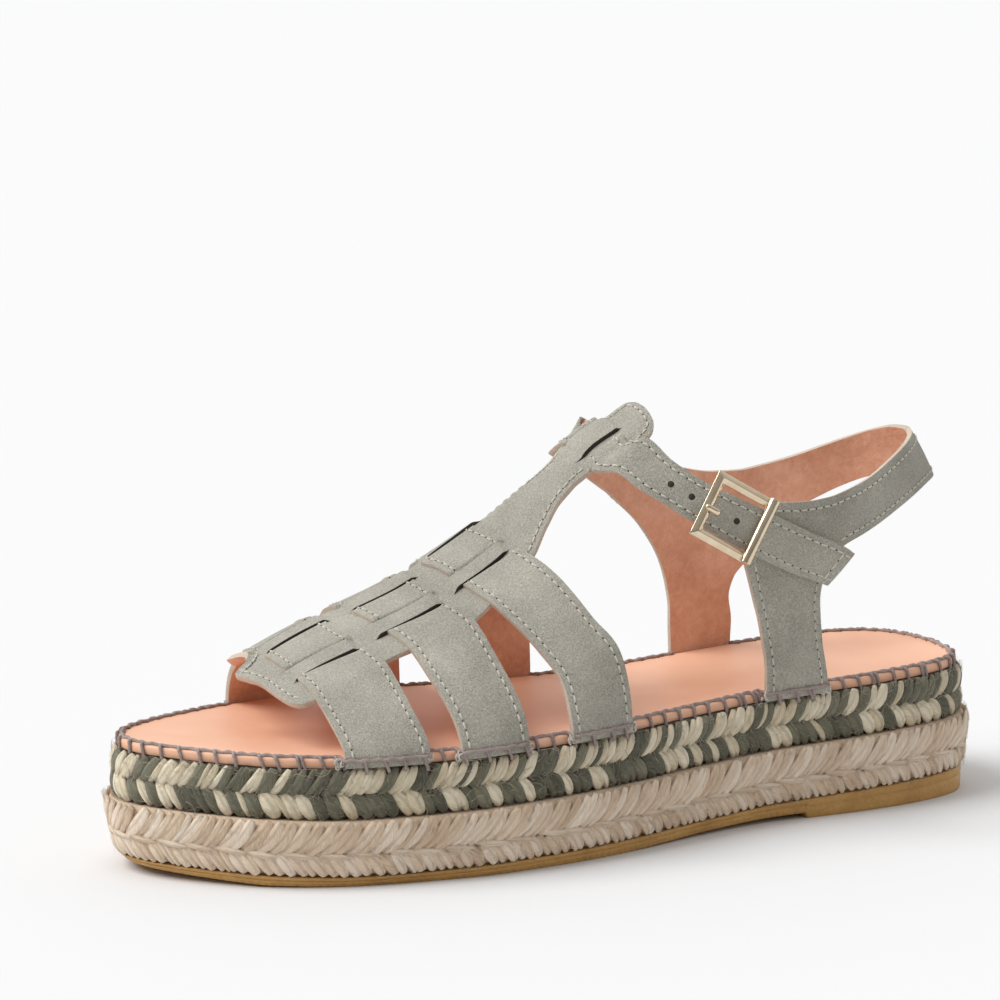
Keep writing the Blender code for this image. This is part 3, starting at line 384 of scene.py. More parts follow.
def smooth_curve(at: Array, places: Array, values: Array) -> Array:
    """Read a smooth curve through table values that never swings past them.

    Between two places the value is a cubic whose end slopes are the weighted harmonic mean of the
    neighbouring slopes, or zero where those slopes change sign.

    Args:
        at: Places to read, clipped to the table.
        places: Rising places of the table rows.
        values: One value, or one row of values, for each place.

    Returns:
        A value, or a row of values, for each place that was asked.
    """
    places = np.asarray(places, dtype=float)
    values = np.asarray(values, dtype=float)
    at = np.clip(np.asarray(at, dtype=float), places[0], places[-1])
    wide = (slice(None),) + (None,) * (values.ndim - 1)
    widths = np.diff(places)[wide]
    slopes = np.diff(values, axis=0) / widths
    before, after = slopes[:-1], slopes[1:]
    first = 2.0 * widths[1:] + widths[:-1]
    second = widths[1:] + 2.0 * widths[:-1]
    same_way = before * after > 0.0
    safe_before = np.where(same_way, before, 1.0)
    safe_after = np.where(same_way, after, 1.0)
    mean = (first + second) / (first / safe_before + second / safe_after)
    tangents = np.concatenate([slopes[:1], np.where(same_way, mean, 0.0), slopes[-1:]])
    span = np.clip(np.searchsorted(places, at, side="right") - 1, 0, len(places) - 2)
    width = np.diff(places)[span]
    share = (at - places[span]) / width
    grow = (...,) + (None,) * (values.ndim - 1)
    share, width = share[grow], width[grow]
    rise = share * share * (3.0 - 2.0 * share)
    return (
        values[span] * (1.0 - rise)
        + values[span + 1] * rise
        + tangents[span] * width * share * (1.0 - share) ** 2
        - tangents[span + 1] * width * share**2 * (1.0 - share)
    )


def column(table: Table, index: int) -> Array:
    """One named column of a table."""
    return np.array([row[index] for row in table])


def unit(vectors: Array) -> Array:
    """Vectors cut to length one."""
    length = np.linalg.norm(vectors, axis=-1, keepdims=True)
    return vectors / np.maximum(length, 1e-12)


def travel(points: Array) -> Array:
    """Distance along a line of points, starting at zero."""
    steps = np.linalg.norm(np.diff(points, axis=0), axis=1)
    return np.concatenate([[0.0], np.cumsum(steps)])


def read_line(at: Array, way: Array, points: Array) -> Array:
    """Points, or other vectors, at distances along a line."""
    return np.stack([np.interp(at, way, points[:, axis]) for axis in range(points.shape[1])], axis=-1)


def cap_fan(around: int) -> Array:
    """Corner numbers of the four-sided faces that close a ring of an even number of points."""
    second = 2 * np.arange(1, around // 2)
    return np.stack([np.zeros_like(second), second - 1, second, second + 1], axis=-1)


def grid_normals(points: Array, outwards: tuple[float, float, float]) -> Array:
    """Unit normals of a grid: the cross product of its two directions, turned to face a hint."""
    along = np.gradient(points, axis=0)
    across = np.gradient(points, axis=1)
    normals = unit(np.cross(along, across))
    if (normals.reshape(-1, 3) @ np.array(outwards)).mean() < 0.0:
        normals = -normals
    return normals


@dataclass(frozen=True)
class Foot:
    """Foot shape that the straps are laid over, with the sole's named sizes in millimetres."""

    length: float = 250.0
    width: float = 88.0
    instep: float = 78.0
    heel_raise: float = 4.8
    rubber: float = 2.9
    jute: float = 15.2
    braid: float = 13.4
    insole: float = 2.6
    overhang: float = 5.2
    edge_gap: float = 0.4
    wall: float = 1.8

    def half_width(self, share: Array, side: int) -> Array:
        """Half width of the outline at a share of the length; side 1 is outer and 2 inner."""
        turn = np.arccos(1.0 - 2.0 * np.clip(share, 0.0, 1.0)) / math.pi
        places = np.arccos(1.0 - 2.0 * column(OUTLINE, 0)) / math.pi
        return smooth_curve(turn, places, column(OUTLINE, side)) * self.width

    def edge(self, x: Array, side: int) -> Array:
        """Side position of a strap's outer face where it passes the insole's edge."""
        share = np.asarray(x, dtype=float) / self.length
        step = 0.002
        rise = self.half_width(share + step, side) - self.half_width(share - step, side)
        slope = rise / (2.0 * step * self.length)
        return self.half_width(share, side) + (self.edge_gap + self.wall) * np.sqrt(1.0 + slope**2)

    def top(self, x: Array) -> Array:
        """Height of the insole's top at a distance from the heel."""
        share = np.asarray(x, dtype=float) / self.length
        rise = smooth_curve(share, column(INSOLE_TOP, 0), column(INSOLE_TOP, 1))
        return self.rubber + self.jute + self.braid + self.insole + rise * self.heel_raise

    def ridge(self, x: Array, index: int) -> Array:
        """One column of the foot's top line, read at a distance from the heel."""
        return smooth_curve(np.asarray(x) / self.length, column(RIDGE, 0), column(RIDGE, index))

    def height(self, x: Array, y: Array) -> Array:
        """Height of the foot surface: a crown over the insole that falls to it at the outline."""
        crest = self.ridge(x, 1) * self.instep
        side = self.ridge(x, 2) * self.width
        square = self.ridge(x, 3)
        outer_away = (y - side) / (self.edge(x, 1) - side)
        inner_away = (side - y) / (side + self.edge(x, 2))
        away = np.clip(np.where(y > side, outer_away, inner_away), 0.0, 1.0)
        power = 0.5 + 0.08 * (2.0 - square) / 0.6
        return self.top(x) + crest * (1.0 - away**square) ** power

    def side(self, x: Array, share: Array) -> Array:
        """Side position at a share of the way from the top line to the outline."""
        middle = self.ridge(x, 2) * self.width
        outer = middle + (self.edge(x, 1) - middle) * share
        inner = middle + (self.edge(x, 2) + middle) * share
        return np.where(share > 0.0, outer, inner)

    def normal(self, x: Array, y: Array) -> Array:
        """Outward direction of the foot surface, from its slopes along and across."""
        step = 0.4
        along = (self.height(x + step, y) - self.height(x - step, y)) / (2.0 * step)
        across = (self.height(x, y + step) - self.height(x, y - step)) / (2.0 * step)
        return unit(np.stack([-along, -across, np.ones_like(along)], axis=-1))

    def on_top(self, x: Array, y: Array, lift: Array | float = 0.0) -> Array:
        """Points on the foot surface, lifted along its normal."""
        points = np.stack([x, y, self.height(x, y)], axis=-1)
        return points + self.normal(x, y) * (np.zeros_like(x) + lift)[..., None]

    def edges(self, table: Table) -> Array:
        """Rows of two edge points in millimetres from rows of shares."""
        scale = np.array([self.length, self.width, self.instep] * 2)
        base = float(self.top(np.array(0.0)))
        return np.asarray(table, dtype=float) * scale + np.array([0.0, 0.0, base] * 2)


@dataclass
class Surface:
    """Vertices, four-sided faces, pattern coordinates and values of a mesh that is being made."""

    points: Array
    faces: Array
    pattern: Array
    slots: Array
    values: dict[str, Array] = field(default_factory=dict)

    @classmethod
    def grid(
        cls, points: Array, outwards: tuple[float, float, float], slot: int = 0, closed: bool = False
    ) -> "Surface":
        """Faces over a grid of points, turned so that they face a hint on the whole.

        Args:
            points: Rows of points, with shape (rows, columns, 3).
            outwards: Direction that most faces look towards.
            slot: Material slot of the faces.
            closed: Whether each row joins up with its own start.

        Returns:
            The surface, whose pattern runs in metres along the rows' steps and across them.
        """
        rows, columns = points.shape[:2]
        number = np.arange(rows * columns).reshape(rows, columns)
        if closed:
            number = np.concatenate([number, number[:, :1]], axis=1)
        faces = np.stack([number[:-1, :-1], number[1:, :-1], number[1:, 1:], number[:-1, 1:]], axis=-1)
        faces = faces.reshape(-1, 4)
        flat = points.reshape(-1, 3)
        first, second, third = flat[faces[:, 0]], flat[faces[:, 1]], flat[faces[:, 2]]
        facing = np.cross(second - first, third - second) @ np.array(outwards)
        if facing.sum() < 0.0:
            faces = faces[:, ::-1]
        along = travel(points[:, columns // 2])
        across = travel(points[rows // 2])
        pattern = np.stack(np.meshgrid(along, across, indexing="ij"), axis=-1).reshape(-1, 2) * MM
        return cls(flat, faces, pattern, np.full(len(faces), slot))

    @classmethod
    def tubes(cls, paths: Array, normals: Array, wide: Array, thick: Array, around: int = 6) -> "Surface":
        """Closed tubes along many paths at once.

        Each ring is an ellipse: the path point plus the surface normal times the cosine and the
        sideways direction times the sine of the angle. Fans of four-sided faces close both ends.

        Args:
            paths: Path points, with shape (tubes, steps, 3).
            normals: Directions away from the carrying surface, of the same shape.
            wide: Half widths sideways, with shape (tubes, steps).
            thick: Half widths along the normal, with shape (tubes, steps).
            around: Even number of points round a ring.

        Returns:
            The surface, whose pattern runs along each tube and round it in metres.
        """
        tubes, steps = paths.shape[:2]
        ahead = unit(np.gradient(paths, axis=1))
        sideways = unit(np.cross(ahead, normals))
        outwards = unit(np.cross(sideways, ahead))
        turn = np.arange(around) * (2.0 * math.pi / around)
        ring = outwards[:, :, None] * (thick[..., None] * np.cos(turn))[..., None]
        ring = ring + sideways[:, :, None] * (wide[..., None] * np.sin(turn))[..., None]
        points = (paths[:, :, None] + ring).reshape(-1, 3)
        number = np.arange(tubes * steps * around).reshape(tubes, steps, around)
        after = np.roll(number, -1, axis=2)
        sides = np.stack([number[:, :-1], after[:, :-1], after[:, 1:], number[:, 1:]], axis=-1)
        fan = cap_fan(around)
        start = number[:, 0][:, fan][..., ::-1]
        end = number[:, -1][:, fan]
        faces = np.concatenate([part.reshape(-1, 4) for part in (sides, start, end)])
        lengths = np.linalg.norm(np.diff(paths, axis=1), axis=2).cumsum(axis=1)
        lengths = np.concatenate([np.zeros((tubes, 1)), lengths], axis=1)
        along = np.repeat(lengths[..., None], around, axis=2)
        round_it = np.broadcast_to(turn * 1.0, along.shape)
        shift = (np.arange(tubes) * 7.3)[:, None, None]
        pattern = np.stack([along + shift, round_it], axis=-1).reshape(-1, 2) * MM
        return cls(points, faces, pattern, np.zeros(len(faces), dtype=int))

    @classmethod
    def loop_tube(cls, path: Array, normals: Array, radius: Array) -> "Surface":
        """A tube along a closed path, with its own radius for each point and place round the ring."""
        ahead = unit(np.roll(path, -1, axis=0) - np.roll(path, 1, axis=0))
        sideways = unit(np.cross(ahead, normals))
        outwards = unit(np.cross(sideways, ahead))
        steps, around = radius.shape
        turn = np.arange(around) * (2.0 * math.pi / around)
        points = path[:, None] + outwards[:, None] * (radius * np.cos(turn))[..., None]
        points = points + sideways[:, None] * (radius * np.sin(turn))[..., None]
        number = np.arange(steps * around).reshape(steps, around)
        after = np.roll(number, -1, axis=1)
        faces = np.stack([number, after, np.roll(after, -1, axis=0), np.roll(number, -1, axis=0)], axis=-1)
        pattern = np.stack(np.meshgrid(travel(path), turn, indexing="ij"), axis=-1).reshape(-1, 2) * MM
        slots = np.zeros(steps * around, dtype=int)
        return cls(points.reshape(-1, 3), faces.reshape(-1, 4), pattern, slots)

    @classmethod
    def joined(cls, parts: list["Surface"]) -> "Surface":
        """Several surfaces in one."""
        starts = np.cumsum([0] + [len(part.points) for part in parts[:-1]])
        names = parts[0].values.keys()
        return cls(
            np.concatenate([part.points for part in parts]),
            np.concatenate([part.faces + start for part, start in zip(parts, starts)]),
            np.concatenate([part.pattern for part in parts]),
            np.concatenate([part.slots for part in parts]),
            {name: np.concatenate([part.values[name] for part in parts]) for name in names},
        )


@dataclass
class Workshop:
    """Puts finished surfaces into the scene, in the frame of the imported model."""

    shift: Array
    made: list[str] = field(default_factory=list)

    @classmethod
    def from_frame(cls, foot: Foot) -> "Workshop":
        """Find the foot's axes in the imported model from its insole, whose heel is at x zero."""
        low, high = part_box("insole")
        widest = foot.half_width(np.linspace(0.0, 1.0, 400), 1).max()
        return cls(np.array([low.x / MM, high.y / MM - widest, 0.0]))

    def add(
        self, name: str, surface: Surface, materials: list[bpy.types.Material], slot: str,
        replaces: tuple[str, ...] = (), wall: float = 0.0, bevel: float = 0.0, weld: bool = False,
    ) -> bpy.types.Object:
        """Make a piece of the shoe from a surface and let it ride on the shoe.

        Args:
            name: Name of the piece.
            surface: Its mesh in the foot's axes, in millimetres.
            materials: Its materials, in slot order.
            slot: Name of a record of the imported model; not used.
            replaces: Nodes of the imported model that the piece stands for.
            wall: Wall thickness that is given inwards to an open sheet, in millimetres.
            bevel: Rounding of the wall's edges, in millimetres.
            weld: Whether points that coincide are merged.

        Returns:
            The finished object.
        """
        mesh = bpy.data.meshes.new(name)
        mesh.from_pydata((surface.points + self.shift) * MM, [], surface.faces)
        corners = np.empty(len(mesh.loops), dtype=np.int32)
        mesh.loops.foreach_get("vertex_index", corners)
        pattern = mesh.uv_layers.new(name="pattern")
        pattern.uv.foreach_set("vector", surface.pattern[corners].ravel())
        mesh.polygons.foreach_set("material_index", surface.slots.astype(np.int32))
        mesh.polygons.foreach_set("use_smooth", np.ones(len(mesh.polygons), dtype=bool))
        for value_name, values in surface.values.items():
            attribute = mesh.attributes.new(value_name, "FLOAT", "POINT")
            attribute.data.foreach_set("value", values.astype(np.float32))
        if weld:
            shape = bmesh.new()
            shape.from_mesh(mesh)
            bmesh.ops.remove_doubles(shape, verts=shape.verts, dist=0.00002)
            shape.to_mesh(mesh)
            shape.free()
        mesh.update()
        piece = bpy.data.objects.new(name, mesh)
        bpy.context.scene.collection.objects.link(piece)
        for material in materials:
            mesh.materials.append(material)
        if wall > 0.0:
            solid = piece.modifiers.new("wall", "SOLIDIFY")
            solid.thickness = wall * MM
            solid.offset = -1.0
            solid.material_offset = 1
            solid.material_offset_rim = 2
            solid.use_even_offset = False
        if bevel > 0.0:
            edge = piece.modifiers.new("edge", "BEVEL")
            edge.width = bevel * MM
            edge.segments = 2
            edge.limit_method = "ANGLE"
            edge.angle_limit = math.radians(50.0)
            edge.harden_normals = False
        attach(piece, BODY)
        if replaces:
            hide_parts(*replaces)
        self.made.append(name)
        LOG.info("%s: %d points, %d faces", name, len(mesh.vertices), len(mesh.polygons))
        return piece


class Side(Enum):
    """The two sides of the foot, by their column in the outline table."""

    OUTER = 1
    INNER = 2

    @property
    def sign(self) -> float:
        """1 on the outer side and -1 on the inner."""
        return 1.0 if self is Side.OUTER else -1.0


@dataclass(frozen=True)
class SoleWall:
    """The upright face of one sole layer, which stands out past the insole by a table of shares."""

    foot: Foot
    stand_out: Table
    base: float
    height: float
    samples: int = 1600

    def loop(self) -> tuple[Array, Array, float]:
        """Foot outline at even steps from the heel round the outer side.

        Returns:
            The points, their outward directions and the whole way round.
        """
        turn = np.linspace(0.0, math.pi, 1200)
        share = (1.0 - np.cos(turn)) / 2.0
        x = share * self.foot.length
        outer = np.stack([x, self.foot.half_width(share, 1)], axis=1)
        inner = np.stack([x, -self.foot.half_width(share, 2)], axis=1)
        ring = np.vstack([outer, inner[-2:0:-1], outer[:1]])
        way = travel(ring)
        points = read_line(np.arange(self.samples) * way[-1] / self.samples, way, ring)
        ahead = unit(np.roll(points, -2, axis=0) - np.roll(points, 2, axis=0))
        return points, np.stack([-ahead[:, 1], ahead[:, 0]], axis=1), float(way[-1])

    def at(self, place: Array, height: Array, out: Array | float = 0.0) -> tuple[Array, Array]:
        """Points on the wall: the outline moved outwards by the layer's stand-out and by out.

        Args:
            place: Distances round the outline in millimetres, from the heel over the outer side.
            height: Shares of the layer's height.
            out: Distances outwards from the wall.

        Returns:
            The points and the outward directions.
        """
        ring, outwards, length = self.loop()
        at = (np.asarray(place, dtype=float) % length) / length * self.samples
        first = np.floor(at).astype(int) % self.samples
        second = (first + 1) % self.samples
        part = (at - np.floor(at))[..., None]
        spot = ring[first] * (1.0 - part) + ring[second] * part
        away = unit(outwards[first] * (1.0 - part) + outwards[second] * part)
        share = spot[..., 0] / self.foot.length
        places = column(self.stand_out, 0)
        low = np.interp(share, places, column(self.stand_out, 1))
        high = np.interp(share, places, column(self.stand_out, 2))
        reach = (low + (high - low) * height) * self.foot.overhang + out
        spot = spot + away * reach[..., None]
        level = self.bottom(spot[..., 0]) + self.height * height
        flat = np.concatenate([away, np.zeros_like(away[..., :1])], axis=-1)
        return np.concatenate([spot, level[..., None]], axis=-1), flat

    def bottom(self, x: Array) -> Array:
        """Height of the layer's underside, which follows the insole's top."""
        under = self.foot.insole + self.foot.braid + self.foot.jute + self.foot.rubber
        return self.foot.top(x) - under + self.base


@dataclass(frozen=True)
class RubberWall(SoleWall):
    """The rubber's side, which reaches down to the floor, the arch and the toe spring."""

    arch: float = 1.6
    spring: float = 2.3
    heel_block: float = 60.5
    gap: float = 0.3

    def tread(self, x: Array) -> Array:
        """Height of the underside: flat heel block, a step up to the arch, and the toe spring."""
        share = x / self.foot.length
        step = np.clip((x - self.heel_block) / 0.6, 0.0, 1.0)
        arch = np.interp(share, column(TREAD, 0), column(TREAD, 1)) * self.arch
        return arch * step + np.interp(share, column(TREAD, 0), column(TREAD, 2)) * self.spring

    def at(self, place: Array, height: Array, out: Array | float = 0.0) -> tuple[Array, Array]:
        """Points on the rubber's side, between its own underside and the jute above it."""
        points, away = super().at(place, height, out)
        x = points[..., 0]
        low = self.tread(x)
        points[..., 2] = low + (self.bottom(x) + self.height - self.gap - low) * height
        return points, away


def closed_layer(wall: SoleWall, rows: Array, steps: int, crown: float = 0.0, across: int = 24) -> Surface:
    """A closed block: rows up the side and a face of straight lines across the top and the base.

    Args:
        wall: The layer's side.
        rows: For each row, its share of the height and how far it stands out, which may differ
            from step to step, with shape (rows, steps, 2).
        steps: Even number of steps round the outline.
        crown: How far the top's middle lies below its rim.
        across: Number of steps across the top and the base.

    Returns:
        The closed surface, whose slots are 0 on the side, 1 on the top and 2 on the base.
    """
    length = wall.loop()[2]
    place = np.arange(steps) * length / steps
    points = wall.at(np.broadcast_to(place, rows.shape[:2]), rows[..., 0], rows[..., 1])[0]
    side = Surface.grid(points, (0.0, 0.0, 0.0), 0, closed=True)
    half = np.arange(steps // 2 + 1)
    share = np.linspace(0.0, 1.0, across)[None, :, None]
    parts = [side]
    for ring, facing, slot in ((points[-1], 1.0, 1), (points[0], -1.0, 2)):
        outer, inner = ring[half][:, None], ring[(steps - half) % steps][:, None]
        face = outer * (1.0 - share) + inner * share
        if facing > 0.0:
            lengthwise = np.sin(math.pi * half / half[-1])[:, None]
            face[..., 2] -= crown * np.sin(math.pi * share[..., 0]) ** 0.7 * lengthwise
        parts.append(Surface.grid(face, (0.0, 0.0, facing), slot))
    return Surface.joined(parts)


@dataclass(frozen=True)
class Outsole:
    """Rubber sole with a groove round its side and fine ribs at the foot of the forefoot."""

    foot: Foot
    groove: float = 0.28
    rib: float = 0.22
    rib_pitch: float = 2.0
    steps: int = 1800

    def surface(self) -> Surface:
        """The side's profile rows, pressed in between the ribs by a cosine along the outline."""
        wall = RubberWall(self.foot, RUBBER_EDGE, 0.0, self.foot.rubber)
        heights = np.array([0.0, 0.05, 0.12, 0.26, 0.34, 0.52, 0.57, 0.60, 0.63, 0.68, 0.95, 1.0])
        out = np.array([-0.7, -0.3, 0.0, 0.0, 0.0, 0.0, -0.6, -1.0, -0.6, 0.0, 0.0, -0.8]) * self.groove
        ribbed = np.array([1.0, 1.0, 1.0, 1.0, 0.0, 0.0, 0.0, 0.0, 0.0, 0.0, 0.0, 0.0]) * self.rib
        length = wall.loop()[2]
        place = np.arange(self.steps) * length / self.steps
        x = wall.at(place, np.zeros(self.steps))[0][:, 0]
        front = np.clip((x - wall.heel_block - 2.0) / 4.0, 0.0, 1.0)
        dent = (0.5 - 0.5 * np.cos(2.0 * math.pi * place / self.rib_pitch)) * front
        pressed = out[:, None] - ribbed[:, None] * dent
        rows = np.stack(np.broadcast_arrays(heights[:, None], pressed), axis=-1)
        return closed_layer(wall, rows, self.steps)

    def dress(self, shop: Workshop, rubber: bpy.types.Material) -> None:
        """Make the outsole."""
        shop.add("outsole_rubber", self.surface(), [rubber] * 3, "outsole", ("outsole",), weld=True)


@dataclass(frozen=True)
class YarnRow:
    """A row of slanted yarns, side by side, from a sole layer's middle line out to one rim.

    A yarn is a lens-shaped tube. Its distance along the outline falls by the slant from the middle
    line to the rim, and it stands out of the wall by the square root of a half sine wave.
    """

    name: str
    start: float
    end: float
    slant: float
    swell: float
    thick: float
    narrow: float
    broad: float
    pale_share: float = 0.0
    around: int = 14
    steps: int = 14
    seed: int = 1

    def surface(self, wall: SoleWall) -> Surface:
        """All yarns of the row, with values for their colour and tone."""
        rng = np.random.default_rng(self.seed)
        length = wall.loop()[2]
        pale = rng.random(int(2.0 * length / (self.narrow + self.broad))) < self.pale_share
        size = self.narrow + (self.broad - self.narrow) * rng.random(len(pale)) ** np.where(pale, 1.4, 0.8)
        size = size * length / size.sum()
        middle = np.cumsum(size) - size / 2.0
        share = np.linspace(0.0, 1.0, self.steps)
        bow = share + 0.12 * np.sin(math.pi * share)
        place = middle[:, None] - self.slant * bow * rng.uniform(0.85, 1.15, (len(size), 1))
        height = self.start + (self.end - self.start) * share + rng.uniform(-0.012, 0.012, (len(size), 1))
        rise = np.sin(math.pi * np.clip(0.04 + 0.93 * share, 0.0, 1.0)) ** 0.5
        out = -0.9 * self.thick + (self.swell + 0.45 * self.thick) * rise
        out = out + rng.uniform(-0.12, 0.12, (len(size), 1))
        paths, away = wall.at(place, np.broadcast_to(height, place.shape), out)
        taper = np.sin(math.pi * (0.10 + 0.80 * share)) ** 0.5
        wide = 0.57 * size[:, None] * taper
        thick = self.thick * (0.45 + 0.55 * taper) * np.ones_like(wide)
        made = Surface.tubes(paths, away, wide, thick, self.around)
        each = self.steps * self.around
        made.values["pale"] = np.repeat(np.where(pale, 1.0, 0.0), each)
        made.values["tone"] = np.repeat(rng.random(len(size)), each)
        return made


@dataclass(frozen=True)
class LooseFibres:
    """Fine hairs that stand off a sole layer: short arcs that start and end at its face."""

    count: int
    longest: float
    stand: float
    radius: float
    seed: int
    pale: float = 1.0

    def surface(self, wall: SoleWall, swell: float) -> Surface:
        """Arcs over the wall: a heading that turns steadily, and a lift that is a half sine wave."""
        rng = np.random.default_rng(self.seed)
        share = np.linspace(0.0, 1.0, 6)[None]
        place = rng.uniform(0.0, wall.loop()[2], (self.count, 1))
        height = rng.uniform(0.03, 0.97, (self.count, 1))
        heading = rng.uniform(0.0, 2.0 * math.pi, (self.count, 1))
        turn = rng.normal(0.0, 1.5, (self.count, 1))
        reach = self.longest * rng.uniform(0.25, 1.0, (self.count, 1)) ** 1.5
        lift = self.stand * rng.uniform(0.15, 1.0, (self.count, 1)) ** 2
        free = (rng.random((self.count, 1)) < 0.3) * 1.0
        angle = heading + turn * share
        along = place + reach * share * np.cos(angle)
        up = np.clip(height + reach * share * np.sin(angle) / wall.height, -0.04, 1.04)
        arc = np.sin(math.pi * share) * (1.0 - free) + share * free
        paths, away = wall.at(along, up, swell - 0.25 + lift * arc)
        size = np.full((self.count, 6), self.radius) * (1.0 - 0.6 * share)
        made = Surface.tubes(paths, away, size, size, 4)
        made.values["pale"] = np.repeat(rng.uniform(0.35, 1.0, self.count) * self.pale, 24)
        made.values["tone"] = np.repeat(rng.random(self.count), 24)
        return made


def backing(wall: SoleWall, out: float, steps: int = 700) -> Surface:
    """Plain closed block behind a layer's yarns, so that no light shows between them."""
    heights = np.array([0.0, 0.12, 0.5, 0.88, 1.0])
    bulge = np.array([-1.2, 0.0, 0.0, 0.0, -1.0]) + out
    rows = np.stack([heights, bulge], axis=-1)[:, None].repeat(steps, axis=1)
    made = closed_layer(wall, rows, steps)
    made.values["pale"] = np.zeros(len(made.points))
    made.values["tone"] = np.full(len(made.points), 0.2)
    return made


@dataclass(frozen=True)
class BraidBand:
    """Upper sole layer: two rows of green and cream yarns that meet in chevrons."""

    foot: Foot

    def dress(self, shop: Workshop, yarn: bpy.types.Material) -> None:
        """Make the block, both rows of yarns and the loose fibres."""
        wall = SoleWall(self.foot, BRAID_EDGE, self.foot.rubber + self.foot.jute, self.foot.braid - 0.3)
        rows = (
            YarnRow("braid_upper_yarns", 0.49, 0.985, 4.6, 1.0, 0.9, 1.5, 3.6, 0.5, seed=11),
            YarnRow("braid_lower_yarns", 0.51, 0.02, 3.9, 1.05, 1.0, 1.7, 4.2, 0.5, seed=12),
        )
        shop.add("braid_block", backing(wall, -0.5), [yarn] * 3, "braid_band", ("braid_band",), weld=True)
        for row in rows:
            shop.add(row.name, row.surface(wall), [yarn], "braid_band")
        fibres = LooseFibres(3000, 9.0, 1.1, 0.06, 13)
        shop.add("braid_loose_fibres", fibres.surface(wall, 1.0), [yarn], "braid_band")


@dataclass(frozen=True)
class JuteBase:
    """Lower sole layer: natural jute in two rows of flat yarns, with a line of loops between."""

    foot: Foot
    loop_pitch: float = 8.5

    def loops(self, wall: SoleWall) -> Surface:
        """Lens-shaped loops along the line between the rows, each tilted over the next one."""
        rng = np.random.default_rng(23)
        count = int(wall.loop()[2] / self.loop_pitch)
        share = np.linspace(0.0, 1.0, 12)[None]
        middle = (np.arange(count) + rng.uniform(-0.15, 0.15, count))[:, None] * self.loop_pitch
        place = middle + (share - 0.5) * self.loop_pitch * 1.35
        height = 0.40 + (share - 0.5) * 0.09 + rng.uniform(-0.02, 0.02, (count, 1))
        out = -0.5 + 0.75 * np.sin(math.pi * share) ** 0.6 + rng.uniform(-0.1, 0.1, (count, 1))
        paths, away = wall.at(place, height, out)
        taper = np.sin(math.pi * (0.04 + 0.92 * share)) ** 0.7 * np.ones((count, 1))
        made = Surface.tubes(paths, away, 0.95 * taper, 0.75 * taper, 10)
        made.values["pale"] = np.repeat(np.full(count, 0.6), 120)
        made.values["tone"] = np.repeat(rng.random(count), 120)
        return made

    def dress(self, shop: Workshop, jute: bpy.types.Material) -> None:
        """Make the block, the yarns, the loops and the loose fibres."""
        wall = SoleWall(self.foot, JUTE_EDGE, self.foot.rubber, self.foot.jute - 0.3)
        rows = (
            YarnRow("jute_upper_yarns", 0.42, 0.99, 7.0, 0.55, 0.65, 1.9, 3.6, 0.5, seed=21),
            YarnRow("jute_lower_yarns", 0.40, 0.02, 4.0, 0.45, 0.65, 1.8, 3.4, 0.5, seed=22),
        )
        shop.add("jute_block", backing(wall, -0.6), [jute] * 3, "jute_base", ("jute_base",), weld=True)
        for row in rows:
            shop.add(row.name, row.surface(wall), [jute], "jute_base")
        shop.add("jute_middle_loops", self.loops(wall), [jute], "jute_base")
        fibres = LooseFibres(3600, 6.0, 0.8, 0.055, 24)
        shop.add("jute_loose_fibres", fibres.surface(wall, 0.6), [jute], "jute_base")


@dataclass(frozen=True)
class Insole:
    """Smooth leather footbed with a rounded top edge and a shallow hollow along its middle."""

    foot: Foot
    hollow: float = 0.5
    steps: int = 900

    def wall(self) -> SoleWall:
        """The insole's side."""
        flat = ((0.0, 0.0, 0.0), (1.0, 0.0, 0.0))
        under = self.foot.rubber + self.foot.jute + self.foot.braid
        return SoleWall(self.foot, flat, under, self.foot.insole)

    def dress(self, shop: Workshop, leather: bpy.types.Material) -> None:
        """Make the insole, whose edge is a quarter of a circle in four rows."""
        heights = np.array([0.0, 0.06, 0.62, 0.75, 0.88, 0.97, 1.0, 1.0])
        out = np.array([-0.15, 0.0, 0.0, -0.05, -0.2, -0.45, -0.8, -1.6])
        rows = np.stack([heights, out], axis=-1)[:, None].repeat(self.steps, axis=1)
        surface = closed_layer(self.wall(), rows, self.steps, self.hollow, 40)
        shop.add("insole_leather", surface, [leather] * 3, "insole", ("insole",), weld=True)


